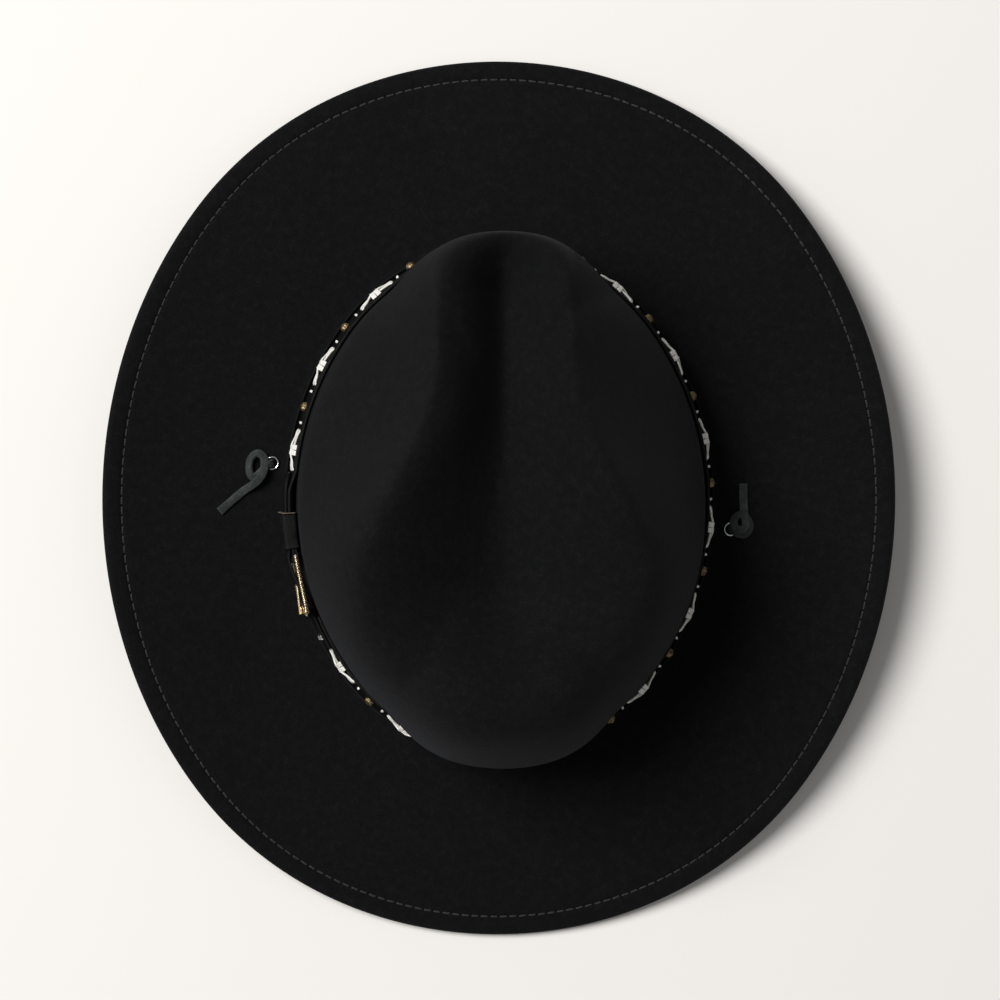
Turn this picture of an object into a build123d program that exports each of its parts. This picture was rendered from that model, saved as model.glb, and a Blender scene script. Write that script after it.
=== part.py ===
"""A black felt hat with a pinched crown, a laced leather band and a chin cord.

Frame: +Z up, origin on the floor under the middle of the crown. The front of the hat faces -Y and the
wearer's left is +X, where the band's buckle is. The hat rests on the front and back of its brim.
All sizes are in millimetres and all angles in degrees.

The crown's foot is a four-centre oval: two flat arcs at the sides and two rounder ones at the front and
back. "nu" is the direction of the oval's outward normal, 0 at the wearer's left and 90 at the back.
"""
from build123d import *
from functools import partial
import os
from math import atan2, cos, degrees, exp, hypot, pi, radians, sin, tan

# Felt
BASE_HALF_WIDTH = 86.3     # outside of the crown at its foot, to the sides
BASE_HALF_LENGTH = 103.3   # and to the front and back
END_RADIUS = 78.0          # the oval's front and back arcs
FELT = 2.3                 # felt thickness
ROOT_Z = 16.5              # top of the brim where it meets the crown
SIDE_LEAN = 6.5            # inward lean of the crown's wall, the same all along its side arcs
FRONT_LEAN = -2.5          # at the front and back it leans out a little instead
BACK_LEAN = -2.5
LEAN_CHANGE = 50.0         # direction of the normal from which it changes
CROWN_HEIGHT = 108.0
FRONT_POWER = 6.0          # of the crown's rounded section: larger is squarer
BACK_POWER = 3.3
FRONT_DROP = 5.0           # how much lower the crown is at the front
FRONT_DROP_Y = (-20.0, -100.0)
FRONT_DROP_HEIGHTS = (60.0, 100.0)
BREAK_RADIUS = 3.0         # bend between crown and brim

# Dents in the crown
CREASE_DEPTH = 50.0                # of the V between the ridges, before its bottom is rounded
CREASE_ROUND = 0.16                # share of its width over which the bottom is rounded
RIDGE_ROUND = 0.06                  # and over which each ridge is
RIDGE_WIDTHS = (27.0, 60.0)        # from the middle to each ridge, at the front and at the back
RIDGE_WIDENS = (-60.0, 40.0)       # places from the front to the back between which they part
CREASE_STARTS = (-122.0, -82.0)    # the crease deepens between these
CREASE_ENDS = (30.0, 94.0)         # and fades between these
CREASE_HEIGHTS = (52.0, 100.0)     # heights over the brim's root between which it deepens
PINCH = 0.6                       # share of the width that the side dents take away
PINCH_Y = -48.0
PINCH_LENGTH = 50.0
PINCH_HEIGHTS = (24.0, 115.0)

# Brim
BRIM_END_WIDTH = 79.6      # at the front and back
BRIM_SIDE_WIDTH = 77.2     # in plan, where the sides curl up
BRIM_FULLNESS = 1.4        # extra width between them
BRIM_POWER = 1.7           # how late the brim curls
CURL_POWER = 2.4           # how closely the curl keeps to the sides
SIDE_RISE = 12.0
HEM_WIDTH = 9.5            # felt turned under at the edge
HEM = 1.9                  # its thickness
STITCH_INSET = 8.0

# Sweatband
SWEATBAND = 1.2
SWEATBAND_BOTTOM = -2.0    # heights over the brim's root
SWEATBAND_TOP = 30.0
SWEATBAND_GAP = 1.6        # between sweatband and felt
REED_RADIUS = 1.0
THREAD = 0.5

# Hat band: offsets are distances out from the crown's wall
BAND_GAP = 0.3
LEATHER = 1.3
BAND_BOTTOM = 6.0          # height of its lower edge over the brim's root
BAND_HEIGHT = 22.0
BAND_MIDDLE = BAND_BOTTOM + BAND_HEIGHT / 2
STUD_COUNT = 14
STUD_RADIUS = 2.2
STUD_HEIGHT = 2.3
POST_RADIUS = 0.8
LACE_LENGTH = 17.0
LACE_HEIGHT = 9.0
LACE_THICKNESS = 1.8
FIT = 0.05                 # gap between pieces sewn or pressed together

# Buckle end of the band, at the wearer's left: "y" is the distance along the crown to the back
BAND_END_Y = 49.0          # rear end of the band, under the billet
DECORATED_START_Y = 63.5
RAMP_Y = (-12.5, -4.5)     # where the band rises over the keeper's inner leg
RAISED = (2.4, 3.6)        # offsets of the band inside the keeper
FLAP = (1.65, 2.3)         # and of the end that is folded back under it
FLAP_END_Y = 8.0
BAR_Y = 23.6
BAR_OFFSET = 2.6
BAR_RADIUS = 0.8
FOLD_RADII = (0.95, 1.9)
BUCKLE_START_Y = 21.9
BUCKLE_LENGTH = 25.0
BUCKLE_RAIL = 3.5
BUCKLE_WINDOW = BAND_HEIGHT + 0.6
BAR_LENGTH = BUCKLE_WINDOW + 2 * BUCKLE_RAIL - 2
BUCKLE_THICKNESS = 1.8
BUCKLE_TILT = 4.8
BUCKLE_OFFSET = 3.0        # of the frame's middle
PRONG_RADIUS = 0.8
PRONG_EYE = (0.92, 1.7)
PRONG_EYE_WIDTH = 2.4
PRONG_SLOT = 3.2
KEEPER_Y = (4.5, 19.0)
KEEPER_OFFSETS = (0.35, 1.05, 5.25, 6.25)
KEEPER_EDGE = 0.4          # room above and below the band
KEEPER_LEATHER = 1.0
BILLET_HEIGHT = 17.0
BILLET_OFFSET = 4.0        # of its middle, over the keeper and the bar
BILLET_SLOT_Y = 31.4       # middle of the slot that the prong comes out of
BILLET_SLOT = (15.5, 3.2, 12.0)
BILLET_HOLES_Y = (-3.5, 3.0)
BILLET_HOLE_RADIUS = 1.0
RIVET_RADIUS = 0.7
RIVET_STEP = 4.5           # above and below the band's middle
BILLET_RIVET_Y = 57.5
FOLD_RIVET_Y = 13.0

# Chin cord
CORD_RADIUS = 1.75
CORD_FLOOR_Z = 1.95
SLIDER_Z = 3.2             # height of the two strands inside the slider
STRAND_X = 2.3
CORD_TOP_Z = 15.5          # where each end meets its knot, inside the eyelet
EYELET_HOLE_RADIUS = 1.95
EYELET_RADIUS = 2.7
EYELET_SHEET = 0.3
EYELET_LEFT = (94.1, -15.3)
EYELET_RIGHT = (-96.0, 12.3)
SLIDER_LENGTH = 16.0
SLIDER_WIDTH = 13.5
SLIDER_HEIGHT = 6.2
SLIDER_ROOM = 0.35
TAIL_WIDTH = 3.6
TAIL_THICKNESS = 2.0

# The cord's route from the left eyelet, through the slider, round behind it and back to the right eyelet
CORD_ROUTE = [
    (94.1, -15.3, CORD_TOP_Z),
    (94.1, -15.3, 7.6),
    (91.4, -20.3, 3.2),
    (83.5, -31.0, CORD_FLOOR_Z),
    (74.0, -49.0, CORD_FLOOR_Z),
    (58.0, -70.0, CORD_FLOOR_Z),
    (36.0, -86.0, CORD_FLOOR_Z),
    (13.0, -80.0, CORD_FLOOR_Z),
    (5.0, -57.0, CORD_FLOOR_Z),
    (STRAND_X, -30.0, SLIDER_Z),
    (STRAND_X, 30.0, SLIDER_Z),
    (10.0, 57.0, CORD_FLOOR_Z),
    (31.0, 74.0, CORD_FLOOR_Z),
    (29.0, 97.0, CORD_FLOOR_Z),
    (3.0, 106.0, CORD_FLOOR_Z),
    (-25.0, 98.0, CORD_FLOOR_Z),
    (-33.0, 76.0, CORD_FLOOR_Z),
    (-11.0, 56.0, CORD_FLOOR_Z),
    (-STRAND_X, 30.0, SLIDER_Z),
    (-STRAND_X, -30.0, SLIDER_Z),
    (-7.0, -58.0, CORD_FLOOR_Z),
    (-21.0, -80.0, CORD_FLOOR_Z),
    (-46.0, -85.0, CORD_FLOOR_Z),
    (-67.0, -68.0, CORD_FLOOR_Z),
    (-73.0, -43.0, CORD_FLOOR_Z),
    (-77.0, -17.0, CORD_FLOOR_Z),
    (-85.0, 0.0, CORD_FLOOR_Z),
    (-92.8, 7.9, 3.2),
    (-96.0, 12.3, 7.6),
    (-96.0, 12.3, CORD_TOP_Z),
]

RING_POINTS = 60           # of each closed curve that the felt is lofted through
ANGLE_STEP = 0.05          # for distances measured along the band

# The oval's four centres and where its arcs meet
END_CENTRE = BASE_HALF_LENGTH - END_RADIUS
WIDTH_STEP = BASE_HALF_WIDTH - END_RADIUS
SIDE_CENTRE = (END_CENTRE ** 2 - WIDTH_STEP ** 2) / (2 * WIDTH_STEP)
SIDE_RADIUS = BASE_HALF_WIDTH + SIDE_CENTRE
SIDE_ANGLE = degrees(atan2(END_CENTRE, SIDE_CENTRE))
END_DROP = ROOT_Z - FELT - HEM


# ---------------------------------------------------------------- shared geometry
def smooth(value):
    """0 below 0, 1 above 1, and an S-curve between."""
    value = min(max(value, 0.0), 1.0)
    return value * value * (3 - 2 * value)


def ease(value, span):
    """0 before the span, 1 after it, and an S-curve between."""
    return smooth((value - span[0]) / (span[1] - span[0]))


def oval_arc(nu):
    """Centre x, centre y and radius of the arc that has this outward normal."""
    x = cos(radians(nu))
    y = sin(radians(nu))
    if abs(y) < sin(radians(SIDE_ANGLE)):
        return (-SIDE_CENTRE if x > 0 else SIDE_CENTRE), 0.0, SIDE_RADIUS
    return 0.0, (END_CENTRE if y > 0 else -END_CENTRE), END_RADIUS


def lean(nu):
    """Inward lean of the wall: constant along the side arcs, and changing smoothly beyond them."""
    end_lean = BACK_LEAN if sin(radians(nu)) > 0 else FRONT_LEAN
    share = ease(abs(sin(radians(nu))), (sin(radians(LEAN_CHANGE)), 1))
    return SIDE_LEAN + (end_lean - SIDE_LEAN) * share


def wall_point(nu, offset, height):
    """A point at this distance outside the crown's wall, at this height above the brim's root."""
    centre_x, centre_y, radius = oval_arc(nu)
    reach = radius + offset - height * tan(radians(lean(nu)))
    return Vector(centre_x + reach * cos(radians(nu)), centre_y + reach * sin(radians(nu)), ROOT_Z + height)


def side_nu(y):
    """Direction of the left side's normal at this distance along the crown."""
    return degrees(y / SIDE_RADIUS)


def brim_width(nu):
    across = cos(radians(nu)) ** 2
    fullness = BRIM_FULLNESS * sin(radians(2 * nu)) ** 2
    return BRIM_END_WIDTH + (BRIM_SIDE_WIDTH - BRIM_END_WIDTH) * across + fullness


def brim_point(nu, offset):
    """A point on the brim's top, at this distance from the crown's foot."""
    point = wall_point(nu, offset, 0)
    side = abs(cos(radians(nu))) ** CURL_POWER
    share = (offset / brim_width(nu)) ** BRIM_POWER
    return Vector(point.X, point.Y, ROOT_Z + share * (SIDE_RISE * side - END_DROP * (1 - side)))


def crease(x, y):
    """How deep the middle crease is: a V with a rounded bottom between two ridges."""
    ridge = RIDGE_WIDTHS[0] + (RIDGE_WIDTHS[1] - RIDGE_WIDTHS[0]) * ease(y, RIDGE_WIDENS)
    inside = 1 - hypot(x / ridge, CREASE_ROUND)
    share = (inside + hypot(inside, RIDGE_ROUND)) / 2
    return CREASE_DEPTH * share * ease(y, CREASE_STARTS) * (1 - ease(y, CREASE_ENDS))


def crown_point(nu, step):
    """A point on the crown's outside; step is 0 at the foot, 1 at the shoulder and 2 at the top."""
    power = BACK_POWER + (FRONT_POWER - BACK_POWER) * smooth(0.5 - 0.5 * sin(radians(nu)))
    shoulder = 0.5 ** (1 / power)
    if step <= 1:
        rise = step * shoulder
        scale = (1 - rise ** power) ** (1 / power)
    else:
        scale = (2 - step) * shoulder
        rise = (1 - scale ** power) ** (1 / power)
    height = CROWN_HEIGHT * rise
    wall = wall_point(nu, 0, height)
    x = wall.X * scale
    y = wall.Y * scale
    x *= 1 - PINCH * exp(-((y - PINCH_Y) / PINCH_LENGTH) ** 2) * ease(height, PINCH_HEIGHTS)
    dent = crease(x, y) * ease(height, CREASE_HEIGHTS)
    drop = FRONT_DROP * ease(y, FRONT_DROP_Y) * ease(height, FRONT_DROP_HEIGHTS)
    return Vector(x, y, ROOT_Z + height - dent - drop)


def surface_point(nu, station):
    """A station is ("brim", share of its width) or ("crown", step)."""
    kind, value = station
    if kind == "brim":
        return brim_point(nu, value * brim_width(nu))
    return crown_point(nu, value)


def offset_point(nu, station, depth):
    """The point this far under the surface, along its normal."""
    kind, value = station
    around = surface_point(nu + 1, station) - surface_point(nu - 1, station)
    low = surface_point(nu, (kind, max(value - 0.01, 0)))
    high = surface_point(nu, (kind, min(value + 0.01, 2)))
    inward = -1 if kind == "crown" else 1
    return surface_point(nu, station) + around.cross(high - low).normalized() * depth * inward


def ring(point_at):
    """A closed smooth curve through point_at(nu) all the way round."""
    points = [point_at(360 * i / RING_POINTS) for i in range(RING_POINTS)]
    return Wire([Edge.make_spline(points, periodic=True)])


def closed_loft(lines, top):
    """A solid through these curves and closed at one point."""
    return Solid.make_loft([ring(line) for line in lines] + [Vertex(*top)], ruled=True)


def oval_face(offset, z):
    """The oval's flat face at this offset from the crown's foot."""
    corners = [-SIDE_ANGLE, SIDE_ANGLE, 180 - SIDE_ANGLE, 180 + SIDE_ANGLE]
    arcs = []
    for start, end in zip(corners, corners[1:] + [360 - SIDE_ANGLE]):
        middle = (start + end) / 2
        centre_x, centre_y, radius = oval_arc(middle)
        reach = radius + offset
        ends = [(centre_x + reach * cos(radians(a)), centre_y + reach * sin(radians(a)), z)
                for a in (start, middle, end)]
        arcs.append(ThreePointArc(*ends))
    return make_face(arcs)


def leaning_band(inner, outer, bottom, top):
    """A closed band that leans with the crown, between two offsets and two heights over the brim's root."""
    solids = []
    for offset in (outer, inner):
        edges = [ring(partial(wall_point, offset=offset, height=height)) for height in (bottom, top)]
        solids.append(Solid.make_loft(edges, ruled=True))
    return solids[0] - solids[1]


def strip(stations):
    """Leather along the wall: stations are (nu, inner offset, outer offset, bottom, top)."""
    wires = []
    for nu, inner, outer, bottom, top in stations:
        corners = [wall_point(nu, inner, bottom), wall_point(nu, outer, bottom),
                   wall_point(nu, outer, top), wall_point(nu, inner, top)]
        wires.append(Wire.make_polygon(corners, close=True))
    return Solid.make_loft(wires, ruled=True)


def even(start, end, step):
    """Values from start to end, at most this step apart."""
    count = max(1, round(abs(end - start) / step))
    return [start + (end - start) * i / count for i in range(count + 1)]


def wall_plane(nu, offset, height):
    """A plane on the wall: x along the strap towards larger nu, y up the wall, z outwards."""
    along = (wall_point(nu + 1, offset, height) - wall_point(nu - 1, offset, height)).normalized()
    up = (wall_point(nu, offset, height + 1) - wall_point(nu, offset, height - 1)).normalized()
    return Plane(origin=wall_point(nu, offset, height), x_dir=along, z_dir=along.cross(up))


# ---------------------------------------------------------------- felt
def felt_body():
    """Crown and brim in one felt, its edge turned under, with the two eyelet holes."""
    steps = [0.04] + even(0.1, 0.7, 0.1) + even(0.76, 1.3, 0.06) + even(1.4, 1.9, 0.1) + [1.97]
    upper = [("crown", step) for step in steps]
    brim = [("brim", share) for share in (0.1, 0.2, 0.32, 0.45, 0.58, 0.7, 0.8)]

    def top_of_edge(drop, inset):
        return lambda nu: brim_point(nu, brim_width(nu) - inset) - Vector(0, 0, drop)

    def hem_line(inset, extra):
        return lambda nu: brim_point(nu, brim_width(nu) - inset) - Vector(0, 0, FELT + extra)

    def skirt(offset, drop):
        return lambda nu: wall_point(nu, brim_width(nu) + offset, 0) - Vector(0, 0, ROOT_Z + drop)

    outside = [skirt(0, 40), top_of_edge(1.4, 0), top_of_edge(0.35, 0.5), top_of_edge(0, 1.6)]
    outside += [top_of_edge(0, HEM_WIDTH)]
    outside += [lambda nu, s=s: surface_point(nu, s) for s in reversed(brim)]
    outside += [lambda nu: wall_point(nu, BREAK_RADIUS, 0), lambda nu: wall_point(nu, 0.9, 0.9)]
    outside += [lambda nu, s=s: surface_point(nu, s) for s in upper]
    top = crown_point(0, 2)

    inside = [skirt(6, 41), hem_line(-6, HEM), hem_line(1.6, HEM), hem_line(HEM_WIDTH - 1, HEM)]
    inside += [hem_line(HEM_WIDTH, 0)]
    inside += [lambda nu, s=s: offset_point(nu, s, FELT) for s in reversed(brim)]
    inside += [lambda nu: wall_point(nu, BREAK_RADIUS - 1.5, -FELT), lambda nu: wall_point(nu, -1, -1)]
    inside += [lambda nu, s=s: offset_point(nu, s, FELT) for s in upper]

    outer = closed_loft(outside, top)
    inner = closed_loft(inside, top - Vector(0, 0, FELT))
    felt = outer - inner
    for x, y in (EYELET_LEFT, EYELET_RIGHT):
        felt -= Pos(x, y, ROOT_Z) * Cylinder(EYELET_HOLE_RADIUS + EYELET_SHEET + FIT, 30)
    return felt


def brim_edge_stitching():
    """The row of thread on top of the brim, which holds the turned-under edge; its two ends nearly meet."""
    half = Vector(0, 0, THREAD / 2)
    wires = []
    lift = Vector(0, 0, THREAD / 2 + 0.15)
    for nu in even(0, 359.6, 4):
        middle = brim_width(nu) - STITCH_INSET
        inner = brim_point(nu, middle - THREAD * 0.7) + lift
        outer = brim_point(nu, middle + THREAD * 0.7) + lift
        wires.append(Wire.make_polygon([inner - half, outer - half, outer + half, inner + half], close=True))
    return Solid.make_loft(wires, ruled=True)


# ---------------------------------------------------------------- sweatband
def sweatband_offsets():
    outer = -FELT - SWEATBAND_GAP
    return outer - SWEATBAND, outer


def sweatband():
    inner, outer = sweatband_offsets()
    return leaning_band(inner, outer, SWEATBAND_BOTTOM, SWEATBAND_TOP)


def sweatband_reed():
    """The round reed under the sweatband's lower edge."""
    inner, outer = sweatband_offsets()
    height = SWEATBAND_BOTTOM - REED_RADIUS - FIT
    middle = (inner + outer) / 2
    path = oval_face(middle, ROOT_Z + height).face().outer_wire()
    section = Plane(origin=path @ 0, z_dir=path % 0) * Circle(REED_RADIUS)
    return sweep(section, path=path)


def sweatband_stitching():
    """The line of thread just over the reed, on the leather's inner face."""
    inner, _ = sweatband_offsets()
    return leaning_band(inner - FIT - THREAD, inner - FIT, 1.0, 1.0 + THREAD)


def sweatband_bow():
    """The small flat bow over the rear seam: two loops, two ends and a knot."""
    inner, _ = sweatband_offsets()
    plane = wall_plane(90, inner - 1.6, 9)
    bow = plane * Box(3, 4, 1.6)
    for side in (-1, 1):
        loop = Pos(side * 5, 0.8, 0) * Rot(Z=side * 8) * extrude(Ellipse(4.6, 2.4), 0.7, both=True)
        tail = Pos(side * 2.6, -4, 0) * Rot(Z=side * 28) * Box(2.2, 7, 0.8)
        bow += plane * loop
        bow += plane * tail
    return bow


# ---------------------------------------------------------------- hat band
def band_layer(inner, outer, start_y, end_y, bottom, top, step=2.5):
    """Stations along the left side between two distances, at constant offsets."""
    return [(nu, inner, outer, bottom, top) for nu in even(side_nu(start_y), side_nu(end_y), step)]


def fold_plane():
    """At the buckle's bar: x along the band to the back, y up the wall, z outwards."""
    return wall_plane(side_nu(BAR_Y), BAR_OFFSET, BAND_MIDDLE)


def upright(plane):
    """The same place with z up the wall, to turn or bore along the bar."""
    return Plane(origin=plane.origin, x_dir=plane.x_dir, z_dir=plane.y_dir)


def band_radius(nu):
    """Of the band's outer face at its middle height."""
    return oval_arc(nu)[2] + BAND_GAP + LEATHER - BAND_MIDDLE * tan(radians(lean(nu)))


def decoration_nu(distance):
    """Direction at this distance along the decorated band, from its rear left end."""
    nu = side_nu(DECORATED_START_Y)
    while distance > 0:
        distance -= band_radius(nu) * radians(ANGLE_STEP)
        nu += ANGLE_STEP
    return nu


def decorated_length():
    """From the rear left end of the decoration, round the back, right and front, to the ramp."""
    start = side_nu(DECORATED_START_Y)
    end = 360 + side_nu(RAMP_Y[0])
    return sum(band_radius(nu) * radians(ANGLE_STEP) for nu in even(start, end, ANGLE_STEP)[1:])


def lace_pitch():
    return (decorated_length() - LACE_LENGTH) / STUD_COUNT


def stud_planes():
    """Where each stud's head sits on the band's outer face."""
    first = LACE_LENGTH / 2 + lace_pitch() / 2
    nus = [decoration_nu(first + i * lace_pitch()) for i in range(STUD_COUNT)]
    return [wall_plane(nu, BAND_GAP + LEATHER, BAND_MIDDLE) for nu in nus]


def hat_band_strap():
    """The band: once round the crown, raised through the keeper, and folded back round the bar."""
    bottom = BAND_BOTTOM
    top = BAND_BOTTOM + BAND_HEIGHT
    flat_inner = BAND_GAP
    flat_outer = BAND_GAP + LEATHER
    stations = [(nu, flat_inner, flat_outer, bottom, top)
                for nu in even(side_nu(BAND_END_Y), 360 + side_nu(RAMP_Y[0]), 4.5)]
    raised = band_layer(*RAISED, RAMP_Y[1], BAR_Y - 1.2, bottom, top)
    stations += [(nu + 360, *rest) for nu, *rest in raised]
    strap = strip(stations)
    strap += strip(band_layer(*FLAP, FLAP_END_Y, BAR_Y - 1.2, bottom, top))
    bar = upright(fold_plane())
    strap += bar * Cylinder(FOLD_RADII[1], BAND_HEIGHT)
    strap -= bar * Cylinder(FOLD_RADII[0], BAND_HEIGHT + 2)
    strap -= fold_plane() * Pos(0.4, 0, 0) * Box(7.5, PRONG_SLOT, 12)
    for plane in stud_planes():
        strap -= plane * Cylinder(POST_RADIUS, 6)
    for plane in rivet_planes(FOLD_RIVET_Y) + rivet_planes(BILLET_RIVET_Y):
        strap -= plane * Cylinder(RIVET_RADIUS + FIT, 16)
    return strap


def rivet_planes(y):
    """On the crown's wall, two places one above the other at this distance along the band."""
    return [wall_plane(side_nu(y), 0, BAND_MIDDLE + step) for step in (-RIVET_STEP, RIVET_STEP)]


def pin(radius, low, high):
    """A cylinder along z between two heights."""
    return Pos(0, 0, (low + high) / 2) * Cylinder(radius, high - low)


def billet_stations():
    """From the billet's pointed tip, over the bar and under the toe, to its root on the band."""
    half = BILLET_HEIGHT / 2
    low = BAND_GAP + LEATHER + 0.1
    path = [(-11.8, 2.6, 2.5), (-10.0, 3.0, 5.5), (-7.0, 3.5, half), (-4.0, 3.7, half), (4.0, 3.7, half),
            (12.0, 3.7, half), (19.2, 3.7, half), (22.0, 4.6, half), (25.8, 4.6, half), (31.0, 3.9, half),
            (37.0, 2.7, half), (42.0, low, half), (49.0, low, half), (56.0, low, half), (63.0, low, half)]
    return [(side_nu(y), inner, inner + LEATHER - 0.1, BAND_MIDDLE - tall, BAND_MIDDLE + tall)
            for y, inner, tall in path]


def buckle_billet():
    """The tongue of leather with its prong hole and two spare holes."""
    billet = strip(billet_stations())
    billet -= wall_plane(side_nu(BILLET_SLOT_Y), BILLET_OFFSET, BAND_MIDDLE) * Box(*BILLET_SLOT)
    for y in BILLET_HOLES_Y:
        billet -= wall_plane(side_nu(y), BILLET_OFFSET, BAND_MIDDLE) * Cylinder(BILLET_HOLE_RADIUS, 6)
    for plane in rivet_planes(BILLET_RIVET_Y):
        billet -= plane * Cylinder(RIVET_RADIUS + FIT, 16)
    return billet


def fold_rivet():
    """Two flush tubular rivets through the band and its folded-back end."""
    return Compound(children=[plane * pin(RIVET_RADIUS, FLAP[0] + FIT, RAISED[1] - FIT)
                              for plane in rivet_planes(FOLD_RIVET_Y)])


def billet_rivets():
    """Two domed rivets through billet and band."""
    top = BAND_GAP + 2 * LEATHER + FIT
    rivets = []
    for plane in rivet_planes(BILLET_RIVET_Y):
        head = Pos(0, 0, top + 0.45) * Cone(1.8, 1.0, 0.8)
        rivets.append(plane * (pin(RIVET_RADIUS, BAND_GAP, top + 0.2) + head))
    return Compound(children=rivets)


def band_studs():
    """Stepped brass studs, each with a post through the band."""
    studs = []
    for plane in stud_planes():
        rim = Pos(0, 0, FIT + 0.3) * Cylinder(STUD_RADIUS, 0.6)
        dome = Pos(0, 0, FIT + 0.6 + (STUD_HEIGHT - 0.6) / 2) * Cone(STUD_RADIUS * 0.9, 0.8, STUD_HEIGHT - 0.6)
        post = Pos(0, 0, (FIT + 0.3 - LEATHER) / 2) * Cylinder(POST_RADIUS - 0.02, LEATHER + FIT + 0.3)
        studs.append(plane * (rim + dome + post))
    return Compound(children=studs)


def band_lacing():
    """Lens-shaped runs of twisted lace on the band's outer face, between the studs."""
    inner = BAND_GAP + LEATHER + FIT
    runs = []
    for number in range(STUD_COUNT + 1):
        centre = LACE_LENGTH / 2 + number * lace_pitch()
        stations = []
        for share in (-1, -0.5, 0, 0.5, 1):
            nu = decoration_nu(centre + share * LACE_LENGTH / 2)
            half = LACE_HEIGHT / 2 * (1 - 0.75 * share * share)
            low = BAND_MIDDLE - half
            high = BAND_MIDDLE + half
            stations.append((nu, inner + 0.05, inner + LACE_THICKNESS, low, high))
        runs.append(strip(stations))
    return Compound(children=runs)


# ---------------------------------------------------------------- buckle and keeper
def buckle_plane():
    """The frame's own plane: x along the band to the toe, y up the wall, z outwards."""
    middle_nu = side_nu(BUCKLE_START_Y + BUCKLE_LENGTH / 2)
    base = wall_plane(middle_nu, BUCKLE_OFFSET, BAND_MIDDLE)
    tilt = radians(BUCKLE_TILT)
    x_dir = base.x_dir * cos(tilt) + base.z_dir * sin(tilt)
    z_dir = base.z_dir * cos(tilt) - base.x_dir * sin(tilt)
    return Plane(origin=base.origin, x_dir=x_dir, z_dir=z_dir)


def bar_position():
    """The bar's place in the frame's plane."""
    local = buckle_plane().to_local_coords(fold_plane().origin)
    return local.X, local.Z


def buckle_frame():
    """Toe and two side rails; the bar closes the fourth side."""
    window = BUCKLE_WINDOW
    height = window + 2 * BUCKLE_RAIL
    frame = extrude(RectangleRounded(BUCKLE_LENGTH, height, 3), BUCKLE_THICKNESS / 2, both=True)
    frame -= Pos(-BUCKLE_RAIL - 1, 0, 0) * Box(BUCKLE_LENGTH + 2, window, BUCKLE_THICKNESS + 2)
    x, z = bar_position()
    frame = frame - Pos(x, 0, z) * Rot(X=90) * Cylinder(BAR_RADIUS, BAR_LENGTH)
    return buckle_plane() * frame


def buckle_bar():
    x, z = bar_position()
    return buckle_plane() * Pos(x, 0, z) * Rot(X=90) * Cylinder(BAR_RADIUS, BAR_LENGTH)


def buckle_prong():
    """An eye round the bar and a shank that lies on the toe."""
    x, z = bar_position()
    toe_x = BUCKLE_LENGTH / 2 - BUCKLE_RAIL / 2
    toe_z = BUCKLE_THICKNESS / 2 + PRONG_RADIUS + 0.15
    slope = degrees(atan2(toe_z - z, toe_x - x))
    length = hypot(toe_x - x, toe_z - z) + 1.2
    shank = Pos(length / 2, 0, 0) * Rot(Y=90) * Cylinder(PRONG_RADIUS, length)
    prong = Rot(X=90) * Cylinder(PRONG_EYE[1], PRONG_EYE_WIDTH) + shank
    prong -= Rot(X=90) * Cylinder(PRONG_EYE[0], PRONG_EYE_WIDTH + 2)
    return buckle_plane() * Pos(x, 0, z) * Rot(Y=-slope) * prong


def keeper_loop():
    """A closed leather loop round the band, its folded end and the billet."""
    inside_low = BAND_BOTTOM - KEEPER_EDGE
    inside_high = BAND_BOTTOM + BAND_HEIGHT + KEEPER_EDGE
    inner, leg, room, outer = KEEPER_OFFSETS
    start, end = KEEPER_Y
    low = inside_low - KEEPER_LEATHER
    high = inside_high + KEEPER_LEATHER
    loop = strip(band_layer(inner, outer, start, end, low, high))
    loop -= strip(band_layer(leg, room, start - 2, end + 2, inside_low, inside_high))
    return loop


# ---------------------------------------------------------------- eyelets, knots and chin cord
def brim_height(x, y):
    """Height of the brim's top at a place beside the crown."""
    reach = hypot(abs(x) + SIDE_CENTRE, y)
    nu = degrees(atan2(y, abs(x) + SIDE_CENTRE))
    return brim_point(nu, max(reach - SIDE_RADIUS, 0.01)).Z


def eyelet(place):
    """A flanged tube through the felt, rolled over under its washer."""
    x, y = place
    top = brim_height(x, y) + 0.25
    length = FELT + 1.6
    tube = Pos(0, 0, -length / 2) * Cylinder(EYELET_HOLE_RADIUS + EYELET_SHEET, length)
    flange = Pos(0, 0, 0.25) * Cylinder(EYELET_RADIUS, 0.5)
    roll = Pos(0, 0, -length + 0.2) * Cylinder(EYELET_RADIUS, 0.4)
    solid = tube + flange + roll - Cylinder(EYELET_HOLE_RADIUS, 20)
    return Pos(x, y, top) * solid


def eyelet_washers():
    """A thin washer under the brim at each eyelet."""
    washers = []
    for x, y in (EYELET_LEFT, EYELET_RIGHT):
        z = brim_height(x, y) - FELT - 0.65
        ring_solid = Cylinder(3.6, 0.4) - Cylinder(EYELET_HOLE_RADIUS + EYELET_SHEET + FIT, 2)
        washers.append(Pos(x, y, z) * ring_solid)
    return Compound(children=washers)


def tail(points):
    """A flat end of cord that lies on the brim through these places."""
    wires = []
    for index, (x, y) in enumerate(points):
        before = Vector(*points[max(index - 1, 0)], 0)
        after = Vector(*points[min(index + 1, len(points) - 1)], 0)
        along = (after - before).normalized()
        across = Vector(-along.Y, along.X, 0) * TAIL_WIDTH / 2
        low = max(brim_height(x + across.X, y + across.Y), brim_height(x - across.X, y - across.Y)) + 0.15
        left = Vector(x, y, low) + across
        right = Vector(x, y, low) - across
        lift = Vector(0, 0, TAIL_THICKNESS)
        wires.append(Wire.make_polygon([left, right, right + lift, left + lift], close=True))
    return Solid.make_loft(wires, ruled=True)


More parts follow.
